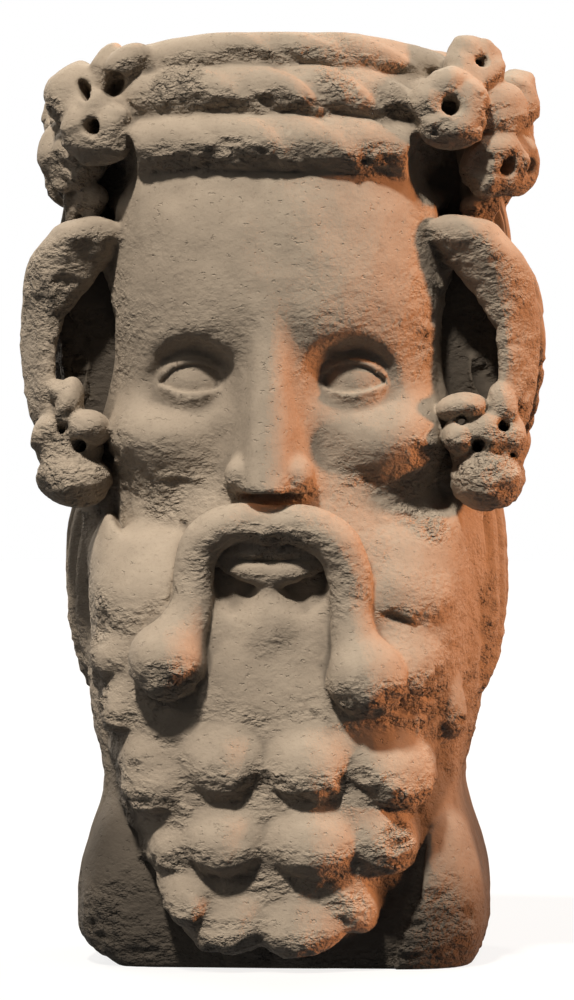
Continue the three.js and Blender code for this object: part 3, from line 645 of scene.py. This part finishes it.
def wreath(P):
    """Three rolls along squared rings, of strands that rise slowly and drop at a slanting notch."""
    x, d, z = P
    angle = np.arctan2(x, d)
    out = None
    worn = 0.30 + 0.45 * fade(x, -25.0, 15.0) + 0.35 * noise(P, 30.0, 3.0)
    for i, (height, radius, width, depth, droop, strands, left) in enumerate(ROLLS):
        rise = z - height + droop * (x / ROLL_SIDE) ** 2 + ROLL_TILT * x * (i > 0)
        away = plan(x, d, width, depth, ROLL_POWER)
        around = np.arctan2(rise, away)
        turn = angle * strands / math.pi + around * STRAND_LEAN + 0.37 * i + 0.45 * noise(P, 48.0, 7.0 + i)
        t = turn - np.floor(turn)
        rising = np.sin(math.pi * np.minimum(t, 0.999) ** 1.9) ** 0.7
        front = np.clip(np.cos(around) + 0.25, 0.0, 1.0)
        swell = STRAND_RELIEF * (rising - 0.75) * front * worn * left
        roll_at = np.hypot(away * ROLL_FLATNESS, rise) - radius - swell
        above = np.abs(rise) - radius * 0.9
        backing = smooth_max(away - ROLL_BACKING * radius, above, SOFT.body)
        f = smooth_min(roll_at, backing, SOFT.lock)
        out = f if out is None else smooth_min(out, f, SOFT.beard)
    return out


# Blossoms, locks and ears

def blossom(spot):
    """Rosette round an outward axis, lumpy all over: a ring that swells a little into five petals, laid
    over a ball, and its drilled eye."""
    x, d, z, radius, eye_radius = spot
    centre = np.array([x, d, z], float)
    axis = (centre - DRILL_AIM) * np.array([1.0, 1.0, DRILL_LEVEL])
    axis /= np.linalg.norm(axis)
    aside = np.cross(axis, (0.0, 0.0, 1.0))
    aside /= np.linalg.norm(aside)
    over = np.cross(aside, axis)

    def distance(P):
        q = P - centre[:, None]
        h, u, v = axis @ q, aside @ q, over @ q
        petal = 0.02 * np.cos(5.0 * np.arctan2(v, u) + x)
        ring = np.hypot(np.hypot(u, v) - radius * (0.46 + petal), h - radius * 0.2)
        ball = np.sqrt(u * u + v * v + (h + radius * 0.1) ** 2) - radius * 0.9
        lump = 1.9 * noise(P, 9.0, x) + 0.8 * noise(P, 4.6, z)
        return smooth_min(ring - radius * (0.53 + petal), ball, SOFT.lock) - lump

    holes = []
    if eye_radius:
        holes.append(limb((*(centre + axis * radius * 0.1), eye_radius * 0.7),
                          (*(centre + axis * radius * 1.4), eye_radius * 1.15)))
    return (distance, centre - radius * 1.1, centre + radius * 1.1), holes


def lock(P):
    """Broad lock over the ear: slanted oval sections between an inner and an outer edge."""
    x, d, z = P
    inner, outer = level(LOCK_LEVELS, z, "inner"), level(LOCK_LEVELS, z, "outer")
    half = np.maximum((outer - inner) / 2, 1.0)
    middle = (outer + inner) / 2
    deep = LOCK_LIE.d + (LOCK_LIE.start - middle) * LOCK_LIE.lean
    across = ((x - middle) + LOCK_LIE.slant * (d - deep)) / half
    through = ((d - deep) - LOCK_LIE.twist * (x - middle)) / level(LOCK_LEVELS, z, "thick")
    f = ((np.abs(across) ** LOCK_POWER + np.abs(through) ** LOCK_POWER) ** (1 / LOCK_POWER) - 1.0)
    f = f * np.minimum(half, LOCK_LIE.steep)
    return smooth_max(f, np.abs(z - LOCK_LIE.middle) - LOCK_LIE.half, SOFT.hem)


def side_hair(P):
    """Depth of the combed strands on the sides and the crown: furrows between broad strands that wander and
    run together, down the side and from face to face over the crown."""
    x, d, z = P
    drift = noise(P, 52.0, 9.0)
    line = d * 0.23 + 1.5 * drift + 1.0 * np.sin(z * 0.05 + 2.0 * drift)
    down = np.abs(np.sin(line)) ** 0.55 * (0.75 + 0.25 * np.abs(np.sin(2.0 * line + 0.6)) ** 0.5)
    reach = np.interp(z, *STRANDS_REACH)
    where = zone(P, STRANDS_ZONE) * fade(reach - np.abs(d), -3.0, 5.0)
    over = fade(z, 384.0, 389.0) * fade(-np.hypot(x, d), -74.0, -60.0)
    out = np.abs(np.sin(x * 0.21 + 2.4 * drift + 0.8 * np.sin(d * 0.04))) ** 0.5
    return (1.0 - down) * where * STRANDS_DEPTH + (1.0 - out) * over * CROWN_STRANDS_DEPTH


def head(P):
    """One head with its half of the block, looking towards +d."""
    M = mirrored(P)
    f = smooth_min(shaft(P), visage(P), SOFT.body)
    face(f, P)
    f = smooth_min(f, beard(P), np.where(P[0] < 0, SOFT.beard, SOFT.flesh))
    for form in LOBE_FORMS:
        add(f, P, form, SOFT.lobe)
    mouth(f, P)
    for form in GROOVE_FORMS:
        cut(f, P, form, SOFT.lip)
    for form in MOUSTACHE_FORMS:
        add(f, P, form, SOFT.lock)
    melting = np.clip((P[2] - ROLL_MELT.z) / ROLL_MELT.over, 0.0, 1.0)
    f = smooth_min(f, wreath(P), ROLL_MELT.least + ROLL_MELT.more * melting)
    cut(f, M, egg(*TEMPLE_RECESS), SOFT.lip)
    cut(f, M, egg(*TEMPLE_HOLLOW), SOFT.body)
    cut(f, M, egg(*EAR_HOLLOW), SOFT.beard)
    add(f, M, egg(*EAR_SHELL), SOFT.lock)
    cut(f, M, egg(*EAR_CUP), SOFT.lock)
    add(f, M, roll(RIBBON, 4), SOFT.hollow)
    cut(f, M, roll(RIBBON_GROOVE, 4), SOFT.lock)
    add(f, M, (lock, *np.array(LOCK_BOX)), SOFT.beard)
    add(f, M, egg(*SIDE_MASS), SOFT.body)
    cut(f, P, egg(*BROKEN_LOCK), SOFT.arris)
    steps = [(add, EAR_FORMS, SOFT.bud), (cut, EAR_HOLES, SOFT.drill), (add, BLOSSOM_FORMS, SOFT.beard),
             (cut, BLOSSOM_HOLES, SOFT.drill), (add, FLAP_FORMS, SOFT.hollow), (cut, POCKET_FORMS, SOFT.lip)]
    for work, forms, soft in steps:
        for form in forms:
            work(f, P, form, soft)
    return smooth_max(f, P[2] - HEIGHT, SOFT.body)


def herm(P):
    """Both heads, each worked out on its own side of the join, with the proud corner and less the losses at
    the foot."""
    front = P[1] > -JOIN
    back = P[1] < JOIN
    out = np.full(P.shape[1], 1e3)
    out[front] = head(P[:, front])
    rear = head(P[:, back] * np.array([[-1.0], [-1.0], [1.0]]))
    out[back] = np.where(front[back], smooth_min(out[back], rear, SOFT.body), rear)
    corner = P[1] > PROUD_CORNER.front
    out[corner] = smooth_min(out[corner], proud_corner(P[:, corner]), SOFT.arris)
    edge = (BROKEN_EDGE.x - P[0]) * BROKEN_EDGE.across - P[2] * BROKEN_EDGE.down
    out = smooth_max(out, edge, SOFT.body)
    for centre, radii in BROKEN_CORNERS:
        cut(out, P, egg(centre, radii), SOFT.hollow)
    return smooth_max(out, -P[2], SOFT.edge)


def ear_hole(x, z, radius):
    """Drilled eye of the ear blossom, wider at its mouth."""
    return limb((x, 58, z, radius * 0.75), (x + 2, 88, z + 2, radius * 1.25))


LOBE_FORMS = lobe_forms()
GROOVE_FORMS = groove_forms()
MOUSTACHE_FORMS = [roll(arm, 20) for arm in (MOUSTACHE_LEFT, MOUSTACHE_RIGHT)]
EAR_FORMS = [sided(egg(*bud), side) for side, buds in ((1, RIGHT_EAR), (-1, LEFT_EAR)) for bud in buds]
EAR_HOLES = [sided(ear_hole(*drill), side)
             for side, drills in ((1, RIGHT_EAR_DRILLS), (-1, LEFT_EAR_DRILLS)) for drill in drills]
BLOSSOM_FORMS, BLOSSOM_HOLES = [], []
for side, cluster in ((1, RIGHT_CLUSTER), (-1, LEFT_CLUSTER)):
    for spot in cluster:
        rosette, holes = blossom(spot)
        BLOSSOM_FORMS.append(sided(rosette, side))
        BLOSSOM_HOLES += [sided(hole, side) for hole in holes]
FLAP_FORMS = [sided(egg(*flap), -1) for flap in LEFT_FLAPS]
POCKET_FORMS = [sided(egg(*pocket), -1) for pocket in LEFT_POCKETS]


# Skin of the form

def lattice_field(field, axes):
    """Field on the lattice: a coarse pass finds what is near the surface, and only that is worked out."""
    coarse = [np.append(np.arange(0, len(a) - 1, BLOCK), len(a) - 1) for a in axes]
    grid = np.meshgrid(*[a[c] for a, c in zip(axes, coarse)], indexing="ij")
    rough = field(np.stack([g.ravel() for g in grid])).reshape(grid[0].shape)
    nearest = [np.minimum(np.round(np.arange(len(a)) / BLOCK).astype(int), len(c) - 1)
               for a, c in zip(axes, coarse)]
    F = rough[np.ix_(*nearest)].astype(np.float32)
    at = np.nonzero(np.abs(F) < STEP * BLOCK + 1.0)
    F[at] = field(np.stack([a[i] for a, i in zip(axes, at)]))
    return F


def skin(F, axes):
    """Surface nets: a vertex in each cell that the surface crosses, at the mean of the crossings on its
    edges, and a face over each lattice edge that the surface crosses."""
    inside = F < 0
    corners = [inside[a:F.shape[0] - 1 + a, b:F.shape[1] - 1 + b, c:F.shape[2] - 1 + c]
               for a in (0, 1) for b in (0, 1) for c in (0, 1)]
    mixed = np.logical_or.reduce(corners) & ~np.logical_and.reduce(corners)
    index = np.full(mixed.shape, -1, np.int64)
    index[mixed] = np.arange(mixed.sum())
    total = np.zeros((mixed.sum(), 3))
    weight = np.zeros(mixed.sum())
    faces = []
    for axis in range(3):
        one = np.eye(3, dtype=int)[axis]
        first = tuple(slice(0, n - s) for n, s in zip(F.shape, one))
        second = tuple(slice(s, None) for s in one)
        e = np.array(np.nonzero(inside[first] != inside[second]))
        start, end = F[tuple(e)], F[tuple(e + one[:, None])]
        place = np.stack([axes[k][e[k]] for k in range(3)], 1)
        place[:, axis] += start / (start - end) * STEP
        others = [(axis + 1) % 3, (axis + 2) % 3]
        keep = np.logical_and.reduce([(e[k] > 0) & (e[k] < F.shape[k] - 1) for k in others])
        e, place = e[:, keep], place[keep]
        ring = []
        for shift in ((-1, -1), (0, -1), (0, 0), (-1, 0)):
            cell = e.copy()
            cell[others[0]] += shift[0]
            cell[others[1]] += shift[1]
            v = index[tuple(cell)]
            ring.append(v)
            np.add.at(total, v, place)
            np.add.at(weight, v, 1)
        quad = np.stack(ring, 1)
        outward = inside[tuple(e)]
        quad[~outward] = quad[~outward][:, ::-1]
        faces.append(quad)
    return total / weight[:, None], np.vstack(faces)


def slope_of(field, V, h=PROBE):
    """Value and gradient of the field from four samples at the corners of a small tetrahedron."""
    corners = np.array([[1, -1, -1], [-1, -1, 1], [-1, 1, -1], [1, 1, 1]], float)
    values = [field((V + h * c).T) for c in corners]
    gradient = sum(v[:, None] * c for v, c in zip(values, corners)) / (4 * h)
    return sum(values) / 4, gradient


def settled(field, V, steps=2):
    """Vertices moved along the gradient on to the form, at most a lattice step at a time."""
    for _ in range(steps):
        value, gradient = slope_of(field, V)
        square = np.maximum((gradient * gradient).sum(1), 0.2)
        V = V - gradient * np.clip(value / square, -STEP, STEP)[:, None]
    return V


# Wear

def front_point(P):
    """The point as the nearer face sees it."""
    flip = np.where(P[1] > 0, 1.0, -1.0)
    return np.stack([P[0] * flip, P[1] * flip, P[2]])


def zone(Q, limits, out=1.0):
    """Share of a zone at each point: the product of the fades at its ends."""
    at = dict(out=np.abs(Q[0]), side=-np.abs(Q[0]), foot=Q[2], top=-Q[2], front=Q[1], back=-Q[1])
    for end, places in limits.items():
        out = out * fade(at[end], *places)
    return out


def patch(Q, spot, rim):
    """1 in a round patch, fading out from the given part of its radius to its edge."""
    x, d, z, radius = spot
    away = np.sqrt((Q[0] - x) ** 2 + (Q[1] - d) ** 2 + (Q[2] - z) ** 2)
    return fade(-away, -radius, -radius * rim)


def pitting(P, N):
    """How rough the stone is, from 0 to 1: rough where it looks down, and in patches."""
    Q = front_point(P)
    worn = LEAST_WEAR + 0.16 * fade(noise(P, 30.0, 8.0), 0.10, 0.55)
    rough = np.maximum(fade(-N[2], *LOOKING_DOWN), worn)
    for spot in ROUGH_PATCHES:
        rough = np.maximum(rough, patch(Q, spot, ROUGH_RIM))
    for spot in SMOOTH_PATCHES:
        rough = rough * (1.0 - SMOOTHING * patch(Q, spot, SMOOTH_RIM))
    mottle = 0.75 + 0.5 * noise(P, 14.0, 5.0)
    return np.clip(rough * mottle * (1.0 - (1.0 - FACE_CLEAN) * zone(Q, FACE_ZONE)), 0.0, 1.0)


def relief(P, N):
    """Height of the weathered surface over the form: soft lumps everywhere, crumbled scales where it is
    rough, small pits, and the furrows of the combed hair."""
    lumps = 0.55 * noise(P, 21.0) + 0.35 * noise(P, 9.0, 1.0)
    flat = P * np.array([[0.85], [0.85], [1.5]])
    crumb = 1.0 - 2.0 * np.abs(noise(flat, 7.5, 2.0)) + 0.7 * noise(flat, 3.8, 4.0)
    pits = -0.8 * fade(noise(P, 3.6, 6.0), 0.5, 0.8)
    rough = pitting(P, N)
    return lumps + rough * (1.1 * crumb - 0.4) + (0.2 + rough) * pits - side_hair(P)


# Scene

def principled(name):
    material = bpy.data.materials.new(name)
    material.use_nodes = True
    return material, material.node_tree.nodes, material.node_tree.links


def stone_material():
    """Matte tan-grey limestone: tone, fine mottling, painted shade darkening the hollows, the deep recesses
    and the block, grain and pits as bump.
    """
    material, nodes, links = principled("weathered_limestone")
    shader = nodes["Principled BSDF"]
    shader.inputs["Roughness"].default_value = STONE_ROUGHNESS
    shader.inputs["Specular IOR Level"].default_value = STONE_SPECULAR
    coordinates = nodes.new("ShaderNodeTexCoord").outputs["Object"]
    flat = nodes.new("ShaderNodeMapping")
    flat.inputs["Scale"].default_value = TEXTURE_FLATNESS
    links.new(coordinates, flat.inputs["Vector"])
    flattened = flat.outputs["Vector"]

    def stored(name):
        node = nodes.new("ShaderNodeAttribute")
        node.attribute_name = name
        return node.outputs["Fac"]

    def feed(socket, value):
        """Sets a number on a socket, or links another node's output to it."""
        if isinstance(value, float):
            socket.default_value = value
        else:
            links.new(value, socket)

    def texture(scale, detail, rough, source=coordinates, kind="FBM"):
        node = nodes.new("ShaderNodeTexNoise")
        node.noise_type = kind
        node.inputs["Scale"].default_value = scale
        node.inputs["Detail"].default_value = detail
        node.inputs["Roughness"].default_value = rough
        links.new(source, node.inputs["Vector"])
        return node.outputs["Fac"]

    def ramp(source, places, first, last):
        node = nodes.new("ShaderNodeValToRGB")
        for element, place, colour in zip(node.color_ramp.elements, places, (first, last)):
            element.position = place
            element.color = (*colour, 1.0)
        links.new(source, node.inputs["Fac"])
        return node.outputs["Color"]

    def mix(kind, amount, a, b):
        node = nodes.new("ShaderNodeMix")
        node.data_type = "RGBA"
        node.blend_type = kind
        feed(node.inputs["Factor"], amount)
        links.new(a, node.inputs["A"])
        links.new(b, node.inputs["B"])
        return node.outputs["Result"]

    def bump(height, distance, strength, normal=None):
        node = nodes.new("ShaderNodeBump")
        node.inputs["Distance"].default_value = distance
        feed(node.inputs["Strength"], strength)
        links.new(height, node.inputs["Height"])
        if normal is not None:
            links.new(normal, node.inputs["Normal"])
        return node.outputs["Normal"]

    # The attribute hollow holds the painted shade, which blends the colour towards the painted shade colour
    # below
    wear, hollow = stored("pitting"), stored("hollow")
    colour = ramp(texture(*TONE.noise), TONE.spread, STONE_DARK, STONE_LIGHT)
    for layer in (MOTTLE, SPECKLE):
        spots = ramp(texture(*layer.noise), layer.spread, layer.dark, WHITE)
        colour = mix("MULTIPLY", layer.share, colour, spots)
    shade_swatch = nodes.new("ShaderNodeRGB")
    shade_swatch.outputs[0].default_value = (*PAINTED_SHADE_COLOUR, 1.0)
    colour = mix("MIX", hollow, colour, shade_swatch.outputs[0])
    links.new(colour, shader.inputs["Base Color"])

    crumbs = nodes.new("ShaderNodeTexVoronoi")
    crumbs.inputs["Scale"].default_value = SCALES.scale
    crumbs.inputs["Detail"].default_value = SCALES.detail
    links.new(flattened, crumbs.inputs["Vector"])
    scales = ramp(crumbs.outputs["Distance"], SCALES.spread, WHITE, BLACK)
    crumble = texture(*CRUMBLE.noise, flattened)
    ridges = texture(*RIDGES.noise, flattened, "RIDGED_MULTIFRACTAL")
    dashes = ramp(texture(*DASHES.noise, flattened), DASHES.spread, BLACK, WHITE)
    normal = bump(texture(*SWELLS.noise), SWELLS.height, SWELLS.strength)
    normal = bump(crumble, CRUMBLE.height, wear, normal)
    normal = bump(ridges, RIDGES.height, wear, normal)
    normal = bump(scales, SCALES.height, wear, normal)
    normal = bump(dashes, DASHES.height, DASHES.strength, normal)
    normal = bump(texture(*GRAIN.noise), GRAIN.height, GRAIN.strength, normal)
    links.new(normal, shader.inputs["Normal"])
    return material


def attribute(mesh, name, values):
    """Stores one value for each vertex, which the material reads by name."""
    mesh.attributes.new(name, "FLOAT", "POINT").data.foreach_set("value", values.astype(np.float32))


def mesh_points(mesh):
    """Vertices and vertex normals of a mesh in millimetres, as x, depth and z."""
    P = np.empty(len(mesh.vertices) * 3)
    N = np.empty(len(mesh.vertices) * 3)
    mesh.vertices.foreach_get("co", P)
    mesh.vertex_normals.foreach_get("vector", N)
    turn = np.array([1.0, -1.0, 1.0])
    return (P.reshape(-1, 3) * turn / MM).T, (N.reshape(-1, 3) * turn).T


def painted_crease_shade(mesh):
    """Painted shade in the creases: how hollow the surface is at each vertex, from the mean rise of its
    neighbours over its tangent plane, as a share of darkening.
    """
    P, N = mesh_points(mesh)
    edges = np.empty(len(mesh.edges) * 2, np.int64)
    mesh.edges.foreach_get("vertices", edges)
    a, b = edges.reshape(-1, 2).T
    total, count = np.zeros_like(P), np.zeros(P.shape[1])
    smooth = P
    for _ in range(CAVITY_ROUNDS):
        total[:] = 0.0
        count[:] = 0.0
        for k in range(3):
            np.add.at(total[k], a, smooth[k][b])
            np.add.at(total[k], b, smooth[k][a])
        np.add.at(count, a, 1)
        np.add.at(count, b, 1)
        smooth = total / np.maximum(count, 1)
    rise = ((smooth - P) * N).sum(0)
    return fade(rise, *CAVITY_ZONE)


def painted_block_shade(P):
    """Painted shade on the block, deeper towards its foot. The beard that stands out over it is free of it,
    and the proud corner has less."""
    Q = front_point(P)
    past = Q[0] - np.interp(Q[2], PROUD_CORNER.z, PROUD_CORNER.x)
    corner = fade(past, -2.0, 1.0) * fade(Q[1], 30.0, 50.0)
    mottle = 0.88 + 0.12 * noise(P, 30.0, 12.0)
    return zone(Q, BLOCK_SHADE_ZONE) * mottle * (1.0 - CORNER_SPARED * corner * fade(Q[2], 20.0, 45.0))


def painted_recess_shade(P, N):
    """Painted shade on the floor and the inner sides of the deep hollows between the face, the locks and the
    clusters."""
    Q = front_point(P)
    flip = np.where(P[1] > 0, 1.0, -1.0)
    side = np.sign(Q[0])
    facing = np.maximum(fade(N[1] * flip, 0.05, 0.45), fade(-N[0] * flip * side, 0.10, 0.50))
    return zone(Q, RECESS_ZONE, facing * zone(Q, RECESS_DEPTH))


def carve():
    """The finished stone: form, relief and wear on one mesh, thinned to its limit where it is flattest."""
    low, high = [np.array(corner) / MM for corner in (cad_low, cad_high)]
    starts = (low[0] - PAD * STEP, low[1] - PAD * STEP, -FOOT_PAD * STEP)
    axes = [np.arange(start, end + PAD * STEP, STEP) for start, end in zip(starts, high)]
    V, faces = skin(lattice_field(herm, axes), axes)
    V = settled(herm, V)
    gradient = slope_of(herm, V)[1]
    N = gradient / np.maximum(np.linalg.norm(gradient, axis=1, keepdims=True), 1e-6)
    standing = fade(V[:, 2], *RELIEF_FOOT)
    V = V + N * (relief(V.T, N.T) * standing)[:, None]
    V = V * np.array([1.0, -1.0, 1.0])
    V = np.clip(V, low, high)
    mesh = bpy.data.meshes.new(NODE + "_stone")
    mesh.from_pydata((V * MM).tolist(), [], faces[:, ::-1].tolist())
    mesh.update()
    rough = bpy.data.objects.new("rough_stone", mesh)
    bpy.context.scene.collection.objects.link(rough)
    thin = rough.modifiers.new("thin", "DECIMATE")
    thin.ratio = min(1.0, MOST_TRIANGLES / (2.0 * len(faces)))
    depsgraph = bpy.context.evaluated_depsgraph_get()
    finished = bpy.data.meshes.new_from_object(rough.evaluated_get(depsgraph))
    bpy.data.objects.remove(rough)
    finished.name = "carved_stone"
    finished.polygons.foreach_set("use_smooth", [True] * len(finished.polygons))
    P, N = mesh_points(finished)
    attribute(finished, "pitting", pitting(P, N))
    # Painted shade: darkening in the creases, on the block and in the deep recesses, stored as the attribute
    # hollow
    painted_shade = painted_crease_shade(finished) * CREASE_SHADE_SHARE + painted_block_shade(P) + painted_recess_shade(P, N) * RECESS_SHADE_SHARE
    attribute(finished, "hollow", np.clip(painted_shade, 0.0, MOST_PAINTED_SHADE))
    stone = bpy.data.objects.new("carved_stone", finished)
    bpy.context.scene.collection.objects.link(stone)
    finished.materials.append(stone_material())
    return stone


def floor():
    """Plain pale floor: one flat disc, drawn by its rim, with some light of its own. It is hidden from
    diffuse rays, so that it doesn't light the stone from below."""
    turn = np.linspace(0.0, 2 * math.pi, FLOOR.sides, endpoint=False)
    rim = np.stack([FLOOR.radius * np.cos(turn), FLOOR.radius * np.sin(turn), np.zeros(len(turn))], 1)
    mesh = bpy.data.meshes.new("floor")
    mesh.from_pydata(rim.tolist(), [], [list(range(len(turn)))])
    material, nodes, _ = principled("pale_floor")
    shader = nodes["Principled BSDF"]
    shader.inputs["Base Color"].default_value = FLOOR_COLOUR
    shader.inputs["Roughness"].default_value = FLOOR.roughness
    shader.inputs["Specular IOR Level"].default_value = FLOOR.specular
    shader.inputs["Emission Color"].default_value = FLOOR_GLOW
    shader.inputs["Emission Strength"].default_value = FLOOR.glow_strength
    mesh.materials.append(material)
    disc = bpy.data.objects.new("floor", mesh)
    bpy.context.scene.collection.objects.link(disc)
    disc.visible_diffuse = False


def aimed(thing, place, target):
    """Puts a camera or a light in its place, turned towards its target."""
    thing.location = place
    thing.rotation_euler = (Vector(target) - Vector(place)).to_track_quat("-Z", "Y").to_euler()
    bpy.context.scene.collection.objects.link(thing)


def camera():
    """Level view, a little from the statue's +x side, framed as the photograph is."""
    data = bpy.data.cameras.new("camera")
    data.sensor_width = SENSOR
    data.lens = SENSOR * CAMERA_DISTANCE / FRAME_HEIGHT
    viewer = bpy.data.objects.new("camera", data)
    aside, ahead = math.sin(CAMERA_AZIMUTH), math.cos(CAMERA_AZIMUTH)
    place = (CAMERA_DISTANCE * aside, -CAMERA_DISTANCE * ahead, CAMERA_HEIGHT)
    aimed(viewer, place, (0.0, 0.0, CAMERA_HEIGHT))
    bpy.context.scene.camera = viewer


def light(name, azimuth, elevation, strength, colour, angle):
    """Distant light from an azimuth and an elevation; angle is its size in the sky."""
    data = bpy.data.lights.new(name, "SUN")
    data.energy = strength
    data.color = colour
    data.angle = math.radians(angle)
    a, e = math.radians(azimuth), math.radians(elevation)
    place = (math.sin(a) * math.cos(e), -math.cos(a) * math.cos(e), math.sin(e))
    aimed(bpy.data.objects.new(name, data), place, (0.0, 0.0, 0.0))


def studio():
    """Warm white key from the upper left front, faint fills from the left and from high on the right, an
    orange light from the right, two lights from behind, and a pale room that the camera sees as white."""
    for lamp in LIGHTS:
        light(*lamp)
    world = bpy.data.worlds.new("pale_room")
    world.use_nodes = True
    nodes, links = world.node_tree.nodes, world.node_tree.links
    fill = nodes["Background"]
    fill.inputs["Color"].default_value = ROOM_COLOUR
    fill.inputs["Strength"].default_value = ROOM_STRENGTH
    backdrop = nodes.new("ShaderNodeBackground")
    backdrop.inputs["Color"].default_value = (*WHITE, 1.0)
    backdrop.inputs["Strength"].default_value = 1.0
    seen = nodes.new("ShaderNodeLightPath")
    either = nodes.new("ShaderNodeMixShader")
    links.new(seen.outputs["Is Camera Ray"], either.inputs["Fac"])
    links.new(fill.outputs["Background"], either.inputs[1])
    links.new(backdrop.outputs["Background"], either.inputs[2])
    links.new(either.outputs["Shader"], nodes["World Output"].inputs["Surface"])
    bpy.context.scene.world = world
    bpy.context.scene.view_settings.view_transform = "Standard"


camera()
studio()
floor()
stone = carve()
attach(stone, "root")
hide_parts(NODE)
